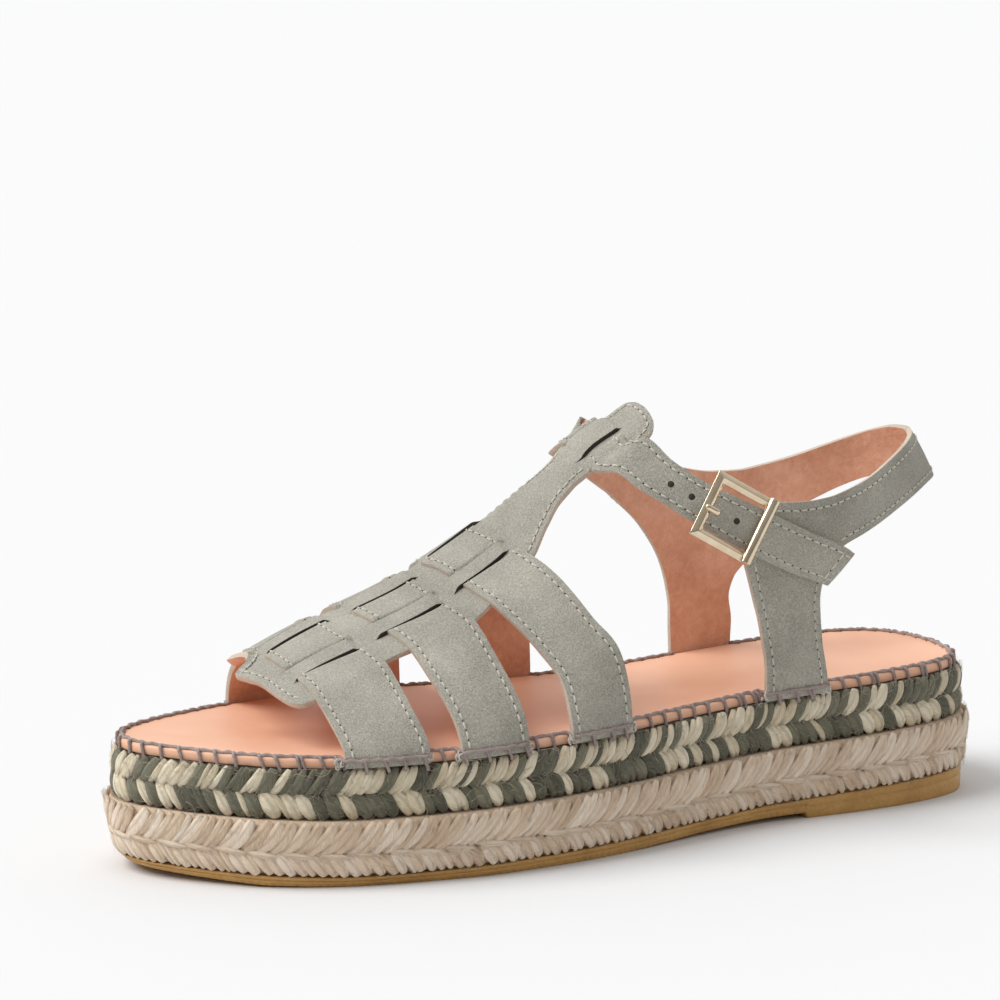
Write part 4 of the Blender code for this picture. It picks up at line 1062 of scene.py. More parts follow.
@dataclass(frozen=True)
class EdgeStitch:
    """Blanket stitch of a thick twisted thread that ties the insole and the straps to the braid."""

    foot: Foot
    wall: SoleWall
    inset: float = 1.0
    radius: float = 0.5
    pitch: float = 5.5
    drop: float = 3.9
    slant: float = 1.4

    def covered(self, x: Array, outer: Array) -> Array:
        """How far a strap covers the insole's edge, from 0 to 1, with soft steps at its sides."""
        cover = np.zeros_like(x)
        for table, side in ((OUTER_ENDS, outer), (INNER_ENDS, ~outer)):
            for rear, front in table:
                rise = np.clip((x - rear * self.foot.length) / 1.6 + 0.5, 0.0, 1.0)
                fall = np.clip((front * self.foot.length - x) / 1.6 + 0.5, 0.0, 1.0)
                cover = np.maximum(cover, np.where(side, rise * fall, 0.0))
        return cover * cover * (3.0 - 2.0 * cover)

    def over_strap(self) -> float:
        """How far the thread stands out from the insole's edge where it lies on a strap."""
        return self.foot.edge_gap + self.foot.wall + 0.35

    def line(self) -> tuple[Array, Array]:
        """Path of the running thread and the directions away from what it lies on."""
        length = self.wall.loop()[2]
        place = np.arange(0.0, length, 0.36)
        edge, away = self.wall.at(place, np.ones_like(place))
        cover = self.covered(edge[:, 0], edge[:, 1] > 0.0)
        phase = 2.0 * math.pi * place / self.pitch
        out = -self.inset + (self.over_strap() + self.inset) * cover + 0.22 * np.sin(phase)
        lift = 0.32 - 0.5 * cover + 0.12 * np.sin(phase * 1.5)
        points = self.wall.at(place, np.ones_like(place), out)[0]
        points[:, 2] += lift
        up = np.array([0.0, 0.0, 1.0])
        return points, unit(up * (1.0 - cover[:, None]) + away * cover[:, None])

    def running_thread(self) -> Surface:
        """Two plies: the radius swells twice round the ring, and that pattern turns along the path."""
        points, normals = self.line()
        turn = np.arange(12) * (2.0 * math.pi / 12)
        twist = travel(points) * (2.0 * math.pi / 3.4)
        radius = self.radius * (1.0 + 0.2 * np.cos(2.0 * (turn[None] - twist[:, None] / 2.0)))
        return Surface.loop_tube(points, normals, radius)

    def legs(self) -> Surface:
        """Short threads from the running line over the edge and down to the braid."""
        rng = np.random.default_rng(31)
        length = self.wall.loop()[2]
        count = int(length / self.pitch)
        start = (np.arange(count) + rng.uniform(-0.14, 0.14, count)) * length / count
        double = rng.random(count) < 0.22
        start = np.concatenate([start, start[double] + rng.uniform(0.9, 1.5, double.sum())])
        share = np.linspace(0.0, 1.0, 14)
        lean = self.slant * rng.uniform(0.5, 1.4, (len(start), 1))
        edge = self.wall.at(start, np.ones_like(start))[0]
        cover = self.covered(edge[:, 0], edge[:, 1] > 0.0)[:, None]
        rim = 0.42 + (self.over_strap() - 0.25) * cover
        top_out = -self.inset + (self.over_strap() + self.inset) * cover
        over = np.clip(share / 0.38, 0.0, 1.0)
        out = top_out + (rim - top_out) * np.sin(over * math.pi / 2.0)
        fall = np.clip((share - 0.16) / 0.84, 0.0, 1.0) ** 1.25
        drop = self.drop * rng.uniform(0.88, 1.1, (len(start), 1))
        lift = (0.42 - 0.6 * cover) * (1.0 - fall) - drop * fall
        out = out - 0.75 * np.clip((share - 0.86) / 0.14, 0.0, 1.0) ** 2
        place = start[:, None] - lean * share
        paths, away = self.wall.at(place, np.ones_like(place), out)
        paths[..., 2] += lift
        up = np.array([0.0, 0.0, 1.0])
        bend = np.clip(share / 0.45, 0.0, 1.0)[None, :, None]
        normals = unit(up * (1.0 - bend) + away * bend)
        size = self.radius * 0.92 * (1.0 + 0.12 * np.cos(share * 22.0)) * np.ones((len(start), 1))
        return Surface.tubes(paths, normals, size, size, 8)

    def knots(self) -> Surface:
        """Small tangles of thread at the corners of the straps: short random loops."""
        rng = np.random.default_rng(32)
        x = np.array([place for table in (OUTER_ENDS, INNER_ENDS) for ends in table for place in ends])
        outer = np.repeat([True, False], [2 * len(OUTER_ENDS), 2 * len(INNER_ENDS)])
        ring, _, length = self.wall.loop()
        away = np.abs(ring[None, :, 0] - x[:, None] * self.foot.length)
        away = away + np.where((ring[None, :, 1] > 0.0) == outer[:, None], 0.0, 1000.0)
        place = np.repeat(away.argmin(axis=1) * length / len(ring), 7)[:, None]
        share = np.linspace(0.0, 1.0, 9)[None]
        shape = (len(place), 1)
        turn = rng.uniform(0.0, 6.3, shape) + share * rng.uniform(3.5, 6.5, shape)
        size = rng.uniform(0.45, 1.0, shape)
        along = place + rng.uniform(-1.2, 1.2, shape) + size * np.cos(turn)
        out = 0.9 + 1.1 * rng.uniform(0.0, 1.0, shape) + 0.35 * np.sin(turn * 1.3)
        paths, normals = self.wall.at(along, np.ones_like(along), out)
        paths[..., 2] += rng.uniform(-2.2, -0.3, shape) + size * np.sin(turn)
        radius = np.full(along.shape, 0.24)
        return Surface.tubes(paths, normals, radius, radius, 6)

    def holes(self) -> Surface:
        """Needle holes beside the running line, on the insole's top, coloured dark as painted shade."""
        length = self.wall.loop()[2]
        count = int(length / self.pitch)
        place = (np.arange(count) + 0.15) * length / count
        points = self.wall.at(place, np.ones_like(place), -self.inset - 0.75)[0]
        points[:, 2] += 0.02
        clear = self.covered(points[:, 0], points[:, 1] > 0.0) < 0.1
        up = np.broadcast_to([0.0, 0.0, 1.0], points.shape)
        ahead = np.broadcast_to([1.0, 0.0, 0.0], points.shape)
        return needle_marks(points[clear], up[clear], ahead[clear], 0.3)

    def dress(
        self, shop: Workshop, thread: bpy.types.Material, pale: bpy.types.Material, dark: bpy.types.Material
    ) -> None:
        """Make the running thread, its legs, the knots and the needle holes."""
        shop.add("edge_stitch_line", self.running_thread(), [thread], "insole")
        shop.add("edge_stitch_legs", self.legs(), [thread], "insole")
        shop.add("edge_stitch_knots", self.knots(), [pale], "insole")
        # The needle holes take a dark colour as painted shade
        shop.add("edge_stitch_holes", self.holes(), [dark], "insole")


def needle_marks(points: Array, normals: Array, ahead: Array, radius: float, around: int = 8) -> Surface:
    """Small round dimples: a ring of points round each place and its centre a little deeper.

    Args:
        points: Centres of the marks.
        normals: Outward directions.
        ahead: Any direction along the surface.
        radius: Radius of a mark in millimetres.
        around: Even number of points round a mark.

    Returns:
        The marks in one surface.
    """
    first = unit(np.cross(normals, ahead))
    second = np.cross(normals, first)
    turn = np.arange(around) * (2.0 * math.pi / around)
    ring = first[:, None] * np.cos(turn)[:, None] + second[:, None] * np.sin(turn)[:, None]
    low = points[:, None] + ring * radius - normals[:, None] * 0.15
    high = points[:, None] + ring * radius * 0.9 + normals[:, None] * 0.04
    flat = np.concatenate([low, high], axis=1).reshape(-1, 3)
    number = np.arange(len(points) * 2 * around).reshape(len(points), 2, around)
    after = np.roll(number, -1, axis=2)
    sides = np.stack([number[:, 0], after[:, 0], after[:, 1], number[:, 1]], axis=-1)
    fan = cap_fan(around)
    top, bottom = number[:, 1][:, fan], number[:, 0][:, fan][..., ::-1]
    faces = np.concatenate([part.reshape(-1, 4) for part in (sides, top, bottom)])
    return Surface(flat, faces, np.zeros((len(flat), 2)), np.zeros(len(faces), dtype=int))


def inset_line(points: Array, normals: Array, inset: float, far_edge: bool) -> tuple[Array, Array]:
    """Line along a strap at a distance from one of its long edges.

    Args:
        points: Grid whose rows run along the strap and whose columns cross it.
        normals: Outward directions of the grid.
        inset: Distance from the edge in millimetres.
        far_edge: Whether the edge is that of the last column.

    Returns:
        Points and outward directions, one for each row.
    """
    if far_edge:
        points, normals = points[:, ::-1], normals[:, ::-1]
    width = np.linalg.norm(np.diff(points, axis=1), axis=2).sum(axis=1)
    place = np.clip(inset / width, 0.0, 0.49) * (points.shape[1] - 1)
    first = np.floor(place).astype(int)
    part = (place - first)[:, None]
    row = np.arange(len(points))
    line = points[row, first] * (1.0 - part) + points[row, first + 1] * part
    return line, unit(normals[row, first] * (1.0 - part) + normals[row, first + 1] * part)


@dataclass(frozen=True)
class Seam:
    """Machine stitches: short threads that dip into a needle hole at each end, coloured dark as painted
    shade.
    """

    pitch: float = 2.7
    radius: float = 0.3
    hole: float = 0.26
    share: float = 0.74

    def sew(self, lines: list[tuple[Array, Array]]) -> tuple[Surface, Surface]:
        """Stitches along lines on a surface.

        Args:
            lines: Points and outward directions of each line.

        Returns:
            The threads and the needle holes.
        """
        threads, holes = [], []
        along = np.linspace(0.0, 1.0, 7)
        for points, normals in lines:
            way = travel(points)
            count = max(1, int(way[-1] / self.pitch))
            step = way[-1] / count
            middle = (np.arange(count) + 0.5) * step
            at = middle[:, None] + (along - 0.5) * step * self.share
            path = read_line(at, way, points)
            out = unit(read_line(at, way, normals))
            lift = 0.26 * np.sin(math.pi * along) ** 0.7 - 0.1
            path = path + out * lift[None, :, None]
            size = self.radius * (0.45 + 0.55 * np.sin(math.pi * along) ** 0.5) * np.ones((count, 1))
            threads.append(Surface.tubes(path, out, size, size, 6))
            at = np.arange(1, count) * step
            spot = read_line(at, way, points)
            ahead = read_line(at + 0.1, way, points) - spot
            holes.append(needle_marks(spot, unit(read_line(at, way, normals)), unit(ahead), self.hole))
        return Surface.joined(threads), Surface.joined(holes)


@dataclass(frozen=True)
class Leather:
    """Sizes of the straps' suede and lining together, in millimetres."""

    wall: float = 1.6
    bevel: float = 0.2
    over: float = 1.15
    under: float = 0.55
    seam_inset: float = 2.0

    def level(self, value: Array) -> Array:
        """Distance from the foot surface for a weave level: over is positive, under negative."""
        return np.where(value > 0.0, value * self.over, value * self.under)


@dataclass(frozen=True)
class CrossStrap:
    """A strap over the foot that weaves under the bridges of the middle panel."""

    name: str
    foot: Foot
    leather: Leather
    places: Table
    weave: Table
    fade: float = 0.06
    steps: int = 261
    across: int = 25

    def grid(self) -> Array:
        """Points of the strap's outer face.

        The share of the way from the foot's top line to the outline follows a sine, so that steps
        are close where the strap falls steeply. Rear and front edges are read from the table, and
        the weave level lifts each point along the foot's normal.
        """
        foot = self.foot
        share = np.sin(np.linspace(-math.pi / 2.0, math.pi / 2.0, self.steps))
        rear = smooth_curve(share, column(self.places, 0), column(self.places, 1)) * foot.length
        front = smooth_curve(share, column(self.places, 0), column(self.places, 2)) * foot.length
        across = np.linspace(0.0, 1.0, self.across)
        x = rear[:, None] + (front - rear)[:, None] * across
        y = foot.side(x, share[:, None])
        middle = y[:, self.across // 2] / foot.width
        places, levels = column(self.weave, 0), column(self.weave, 1)
        places = np.concatenate([places[:1] - self.fade, places, places[-1:] + self.fade])
        level = smooth_curve(middle, places, np.concatenate([[0.0], levels, [0.0]]))
        points = np.stack([x, y, foot.height(x, y)], axis=-1)
        points[[0, -1], :, 2] = foot.top(x[[0, -1]])
        inner = slice(1, -1)
        lift = self.leather.level(level)[inner, None, None]
        points[inner] += foot.normal(x[inner], y[inner]) * lift
        drop = np.array([0.0, 0.0, foot.insole - 0.3])
        ends = [points[:1] - drop * part for part in (1.0, 0.66, 0.33)]
        tails = [points[-1:] - drop * part for part in (0.33, 0.66, 1.0)]
        return np.concatenate([*ends, points, *tails])

    def normals(self, points: Array) -> Array:
        """Outward directions of the strap's face, which look upwards on the whole."""
        return grid_normals(points, (0.0, 0.0, 1.0))


@dataclass(frozen=True)
class MiddlePanel:
    """The long panel over the foot: front lip, slit bridges, stem, head and round tab."""

    foot: Foot
    leather: Leather
    rows: int = 420
    lip_rows: int = 18
    counts: tuple[int, ...] = (11, 8, 14, 8, 11)
    slit: float = 0.16
    # Shares of the length between which the slit walls are coloured dark as painted shade
    shaded_slit_range: tuple[float, float] = (0.405, 0.83)
    lip_curl: float = 1.6

    def reading(self, x: Array) -> tuple[list[Array], list[Array]]:
        """Side positions of the panel's six long edges and the levels of its five strips."""
        table = np.array(SPINE_END + SPINE[::-1])
        values = smooth_curve(x / self.foot.length, table[:, 0], table[:, 1:])
        edges = [values[:, index] * self.foot.width for index in range(6)]
        flat = np.zeros(len(x))
        return edges, [flat, values[:, 6], values[:, 7], values[:, 6], flat]

    def strips(self) -> list[Surface]:
        """Five strips side by side. Where their levels differ, the slit between them opens."""
        end, start = SPINE_END[0][0] * self.foot.length, SPINE[0][0] * self.foot.length
        x = np.linspace(end, start, self.rows)
        edges, levels = self.reading(x)
        made = []
        for number, count in enumerate(self.counts):
            left, right = edges[number], edges[number + 1]
            if number > 0:
                left = left + self.slit * np.clip(np.abs(levels[number] - levels[number - 1]), 0.0, 1.0)
            if number < 4:
                right = right - self.slit * np.clip(np.abs(levels[number] - levels[number + 1]), 0.0, 1.0)
            y = left[:, None] + (right - left)[:, None] * np.linspace(0.0, 1.0, count)
            grid = np.broadcast_to(x[:, None], y.shape)
            lift = np.broadcast_to(self.leather.level(levels[number])[:, None], y.shape)
            front, side = self.lip(y[-1])
            x_all, y_all = np.concatenate([grid, front]), np.concatenate([y, side])
            share = np.zeros_like(x_all)
            share[self.rows:] = np.linspace(0.0, 1.0, self.lip_rows + 1)[1:, None]
            lift = np.concatenate([lift, self.curl(side, share[self.rows:])])
            points = self.foot.on_top(x_all, y_all, lift)
            strip = Surface.grid(points, (0.0, 0.0, 1.0))
            # In this range the bridges' slit walls take the dark slit material, which is painted shade
            # inside the slits
            if number in (1, 2, 3):
                rear, front_end = (share_of * self.foot.length for share_of in self.shaded_slit_range)
                slit = (x_all[:-1, :-1] > rear) & (x_all[:-1, :-1] < front_end)
                strip.slots = np.where(slit.ravel(), 3, 0)
            made.append(strip)
        return made

    def lip(self, y: Array) -> tuple[Array, Array]:
        """Rows from the last strap out to the shaped front edge, for one row of side positions."""
        reach = smooth_curve(y / self.foot.width, column(SPINE_FRONT, 0), column(SPINE_FRONT, 1))
        share = np.linspace(0.0, 1.0, self.lip_rows + 1)[1:, None]
        start = SPINE[0][0] * self.foot.length
        x = start + (reach * self.foot.length - start) * share
        return x, np.broadcast_to(y, (self.lip_rows, len(y)))

    def curl(self, y: Array, share: Array) -> Array:
        """Lift of the lip, which grows with the square of the way out and is largest inwards."""
        inwards = np.clip(-y / self.foot.width / 0.16, 0.0, 1.0)
        return self.lip_curl * share**2 * inwards * inwards * (3.0 - 2.0 * inwards)

    def outline(self, x: Array, number: int, inset: float) -> tuple[Array, Array]:
        """A line inside one long edge of the panel, and its outward directions."""
        edges, _ = self.reading(x)
        sign = 1.0 if number == 0 else -1.0
        y = edges[number]
        slope = np.gradient(y, x)
        length = np.sqrt(1.0 + slope**2)
        inside_x, inside_y = x - sign * slope / length * inset, y + sign * inset / length
        return self.foot.on_top(inside_x, inside_y), self.foot.normal(inside_x, inside_y)

    def tab_line(self, inset: float) -> tuple[Array, Array]:
        """A line inside the edge of the round tab, from the inner slot round to the outer."""
        x = np.linspace(0.4215, SPINE_END[0][0], 90) * self.foot.length
        edges, _ = self.reading(x)
        rim = np.concatenate([np.stack([x, edges[0]], 1), np.stack([x, edges[5]], 1)[::-1]])
        way = travel(rim)
        rim = read_line(np.linspace(0.0, way[-1], 160), way, rim)
        for _ in range(6):
            rim[1:-1] = 0.25 * rim[:-2] + 0.5 * rim[1:-1] + 0.25 * rim[2:]
        ahead = unit(np.gradient(rim, axis=0))
        inside = rim + np.stack([-ahead[:, 1], ahead[:, 0]], axis=1) * -inset
        if np.abs(inside[80] - rim.mean(axis=0)).sum() > np.abs(rim[80] - rim.mean(axis=0)).sum():
            inside = rim + np.stack([-ahead[:, 1], ahead[:, 0]], axis=1) * inset
        return self.foot.on_top(inside[:, 0], inside[:, 1]), self.foot.normal(inside[:, 0], inside[:, 1])

    def lip_line(self, inset: float) -> tuple[Array, Array]:
        """A line inside the shaped front edge."""
        y = np.linspace(-0.272, 0.236, 120) * self.foot.width
        reach = smooth_curve(y / self.foot.width, column(SPINE_FRONT, 0), column(SPINE_FRONT, 1))
        x = reach * self.foot.length
        slope = np.gradient(x, y)
        length = np.sqrt(1.0 + slope**2)
        x_in, y_in = x - inset / length, y + slope / length * inset
        start = SPINE[0][0] * self.foot.length
        share = np.clip((x_in - start) / np.maximum(x - start, 0.5), 0.0, 1.0)
        return self.foot.on_top(x_in, y_in, self.curl(y_in, share)), self.foot.normal(x_in, y_in)

    def margins(self) -> Surface:
        """The head's flat margins, which lie under the ankle band beside the slots."""
        front, rear, inner, outer = HEAD_MARGIN
        x, y = np.meshgrid(
            np.linspace(front, rear, 24) * self.foot.length,
            np.linspace(inner, outer, 60) * self.foot.width, indexing="ij",
        )
        return Surface.grid(self.foot.on_top(x, y, -0.15), (0.0, 0.0, 1.0))

    def seams(self) -> list[tuple[Array, Array]]:
        """Lines of stitching along the stem, round the tab and along the lip."""
        inset = self.leather.seam_inset
        stem = np.linspace(0.468, 0.562, 80) * self.foot.length
        return [
            self.outline(stem, 0, inset * 0.8), self.outline(stem, 5, inset * 0.8),
            self.tab_line(inset * 0.85), self.lip_line(inset),
        ]


# A point inside the ankle, in millimetres: the band faces away from it
ANKLE = (55.0, -3.0, 60.0)

# Table, feet on the sole and place on the band of each stay
STAYS = {
    Side.OUTER: (OUTER_STAY, OUTER_FOOT, OUTER_ROOT),
    Side.INNER: (INNER_STAY, INNER_FOOT, INNER_ROOT),
}


@dataclass(frozen=True)
class AnkleBand:
    """The strap that runs round the heel, threads the head and ends at the buckle, with its stays."""

    foot: Foot
    leather: Leather
    step: float = 0.9
    across: int = 25

    def threaded(self) -> Array:
        """Edge points where the band crosses the head, lifted over its margins and under its loop."""
        side = column(HEAD_THREAD, 0) * self.foot.width
        lift = self.leather.level(column(HEAD_THREAD, 1))
        ends = []
        for place in (HEAD_REAR, HEAD_FRONT):
            x = np.full(len(side), place * self.foot.length)
            ends.append(self.foot.on_top(x, side, lift))
        return np.concatenate(ends, axis=1)

    def grid(self) -> tuple[Array, int]:
        """Points of the band from its start on the outer side to its free end.

        Returns:
            The grid, whose columns run from the top edge to the bottom edge, and the number of
            rows before the head.
        """
        back = self.foot.edges(HEEL_BAND)
        threaded = self.threaded()
        rows = np.vstack([back, threaded, self.foot.edges(ANKLE_STRAP)])
        way = travel(rows[:, :3])
        at = np.arange(0.0, way[-1], self.step)
        at = np.append(at, way[-1])
        fine = smooth_curve(at, way, rows)
        before = int(np.searchsorted(at, way[len(back) - 1]))
        share = np.linspace(0.0, 1.0, self.across)[None, :, None]
        points = fine[:, None, :3] * (1.0 - share) + fine[:, None, 3:] * share
        normals = self.facing(points)
        bow = 4.0 * share[..., 0] * (1.0 - share[..., 0])
        return points + normals * (0.35 * bow)[..., None], before

    def facing(self, points: Array) -> Array:
        """Outward directions of the band: away from the point inside the ankle."""
        normals = grid_normals(points, (0.0, 0.0, 1.0))
        toward = ((points - np.array(ANKLE)) * normals).sum(axis=-1).mean(axis=1)
        return normals * np.where(toward < 0.0, -1.0, 1.0)[:, None, None]

    def stay(self, band: Array, before: int, side: Side) -> Array:
        """Rows of a stay from the band's lower edge down to the insole's edge.

        Each row is a straight line between the stay's front and rear edges, plus the band's own
        curve, which fades out over the first rows.
        """
        table, feet, root_range = STAYS[side]
        sign = side.sign
        lower = band[:before, -1]
        rear, front = (value * self.foot.length for value in root_range)
        chosen = np.flatnonzero((sign * lower[:, 1] > 0.0) & (lower[:, 0] > rear) & (lower[:, 0] < front))
        if side is Side.INNER:
            chosen = chosen[::-1]
        root = lower[chosen]
        rows = [np.concatenate([root[0], root[-1]]), *self.foot.edges(table)]
        for drop in (0.0, self.foot.insole - 0.3):
            x = np.array(feet) * self.foot.length
            y = sign * self.foot.edge(x, side.value)
            z = self.foot.top(x) - drop
            rows.append(np.stack([x, y, z], axis=1).reshape(-1))
        rows = np.array(rows)
        share = np.linspace(0.0, 1.0, len(root))[None, :, None]
        lines = rows[:, None, :3] * (1.0 - share) + rows[:, None, 3:] * share
        fade = np.clip(1.0 - np.arange(len(rows)) / 3.0, 0.0, 1.0) ** 2
        lines = lines + (root - lines[0]) * fade[:, None, None]
        way = travel(lines[:, lines.shape[1] // 2])
        fine = smooth_curve(np.linspace(0.0, way[-1], 70), way, lines)
        fine[0] = root
        return fine

    def seams(self, band: Array, before: int, stays: dict[Side, Array]) -> list[tuple[Array, Array]]:
        """Lines of stitching along the band's edges, down the stays and across the free end."""
        normals = self.facing(band)
        inset = self.leather.seam_inset
        free = slice(before + 8, None)
        lines = [inset_line(band[:before], normals[:before], inset * 1.2, False)]
        lines.append(inset_line(band[free], normals[free], inset, False))
        lines.append(inset_line(band[free], normals[free], inset, True))
        lines.append(self.end_line(band, normals, inset))
        marks = {side: self.root_rows(band, before, stays[side]) for side in Side}
        outer_rear, outer_front = marks[Side.OUTER]
        inner_rear, inner_front = marks[Side.INNER]
        lower, lower_out = inset_line(band, normals, inset, True)
        for first, last in ((0, outer_front), (outer_rear, inner_rear), (inner_front, before)):
            if last - first > 4:
                lines.append((lower[first:last], lower_out[first:last]))
        for side in Side:
            face = stays[side]
            out = grid_normals(face, (0.0, side.sign, 0.0))
            for far in (False, True):
                lines.append(inset_line(face[:-3], out[:-3], inset, far))
        return lines

    def root_rows(self, band: Array, before: int, face: Array) -> tuple[int, int]:
        """Numbers of the band's rows where a stay starts: its rear and its front end."""
        lower = band[:before, -1]
        corners_of_stay = (face[0, 0], face[0, -1])
        ends = [int(np.linalg.norm(lower - corner, axis=1).argmin()) for corner in corners_of_stay]
        x = [lower[number, 0] for number in ends]
        rear, front = (ends[0], ends[1]) if x[0] < x[1] else (ends[1], ends[0])
        return rear, front

    def end_line(self, band: Array, normals: Array, inset: float) -> tuple[Array, Array]:
        """The line of stitching across the free end."""
        way = travel(band[::-1, self.across // 2])
        row = len(band) - 1 - int(np.searchsorted(way, inset))
        inside = slice(2, self.across - 2)
        return band[row, inside], normals[row, inside]

    def holes(self, band: Array) -> Surface:
        """Punched holes along the middle of the free end."""
        normals = self.facing(band)
        middle = band[::-1, self.across // 2]
        way = travel(middle)
        at = np.array(STRAP_HOLES)
        spot = read_line(at, way, middle)
        out = unit(read_line(at, way, normals[::-1, self.across // 2]))
        ahead = unit(read_line(at + 1.0, way, middle) - spot)
        return needle_marks(spot, out, ahead, 1.0, 16)


@dataclass(frozen=True)
class Upper:
    """All straps of the shoe, with their stitching."""

    foot: Foot
    leather: Leather
    seam: Seam

    def dress(self, shop: Workshop, look: "Looks") -> None:
        """Make the panel, the cross straps, the band with its stays, the seams and the holes."""
        # The sixth skin colours the slit walls dark as painted shade
        skins = [look.suede, look.lining, look.cut_edge, look.suede, look.lining, look.slit_wall_shade]
        wall, bevel = self.leather.wall, self.leather.bevel
        panel = MiddlePanel(self.foot, self.leather)
        made = Surface.joined(panel.strips())
        shop.add("middle_panel", made, skins, "upper", ("upper",), wall, bevel, weld=True)
        shop.add("head_margins", panel.margins(), skins[:3], "upper", ("upper",), wall - 0.3, bevel)
        lines = panel.seams()
        straps = (
            CrossStrap("front_strap", self.foot, self.leather, FRONT_STRAP, FRONT_WEAVE),
            CrossStrap("middle_strap", self.foot, self.leather, MIDDLE_STRAP, MIDDLE_WEAVE),
            CrossStrap("rear_strap", self.foot, self.leather, REAR_STRAP, REAR_WEAVE),
        )
        for strap in straps:
            points = strap.grid()
            normals = strap.normals(points)
            made = Surface.grid(points, (0.0, 0.0, 1.0))
            shop.add(strap.name, made, skins[:3], "upper", ("upper",), wall, bevel)
            for far in (False, True):
                line, out = inset_line(points, normals, self.leather.seam_inset, far)
                lines.append((line[4:-4], out[4:-4]))
        band = AnkleBand(self.foot, self.leather)
        points, before = band.grid()
        stays = {side: band.stay(points, before, side) for side in Side}
        strip = Surface.grid(points, (0.0, 0.0, 1.0))
        away = self.face_centres(strip) - np.array(ANKLE)
        outwards = np.sign(away * self.face_normals(strip)).sum()
        if outwards < 0.0:
            strip.faces = strip.faces[:, ::-1]
        parts = [strip] + [Surface.grid(stays[side], (0.0, side.sign, 0.0)) for side in Side]
        made = Surface.joined(parts)
        shop.add("ankle_band", made, skins[:3], "upper", ("upper",), wall, bevel, weld=True)
        lines.extend(band.seams(points, before, stays))
        threads, holes = self.seam.sew(lines)
        shop.add("strap_stitches", threads, [look.cream_thread], "upper")
        # The needle holes and buckle holes are coloured dark as painted shade
        shop.add("strap_needle_holes", holes, [look.painted_hole_shade], "upper")
        shop.add("strap_buckle_holes", band.holes(points), [look.painted_hole_shade], "upper")

    @staticmethod
    def face_centres(surface: Surface) -> Array:
        """Middle point of each face."""
        return surface.points[surface.faces].mean(axis=1)

    @staticmethod
    def face_normals(surface: Surface) -> Array:
        """Direction of each face from its first three corners."""
        first, second, third = (surface.points[surface.faces[:, index]] for index in range(3))
        return unit(np.cross(second - first, third - second))


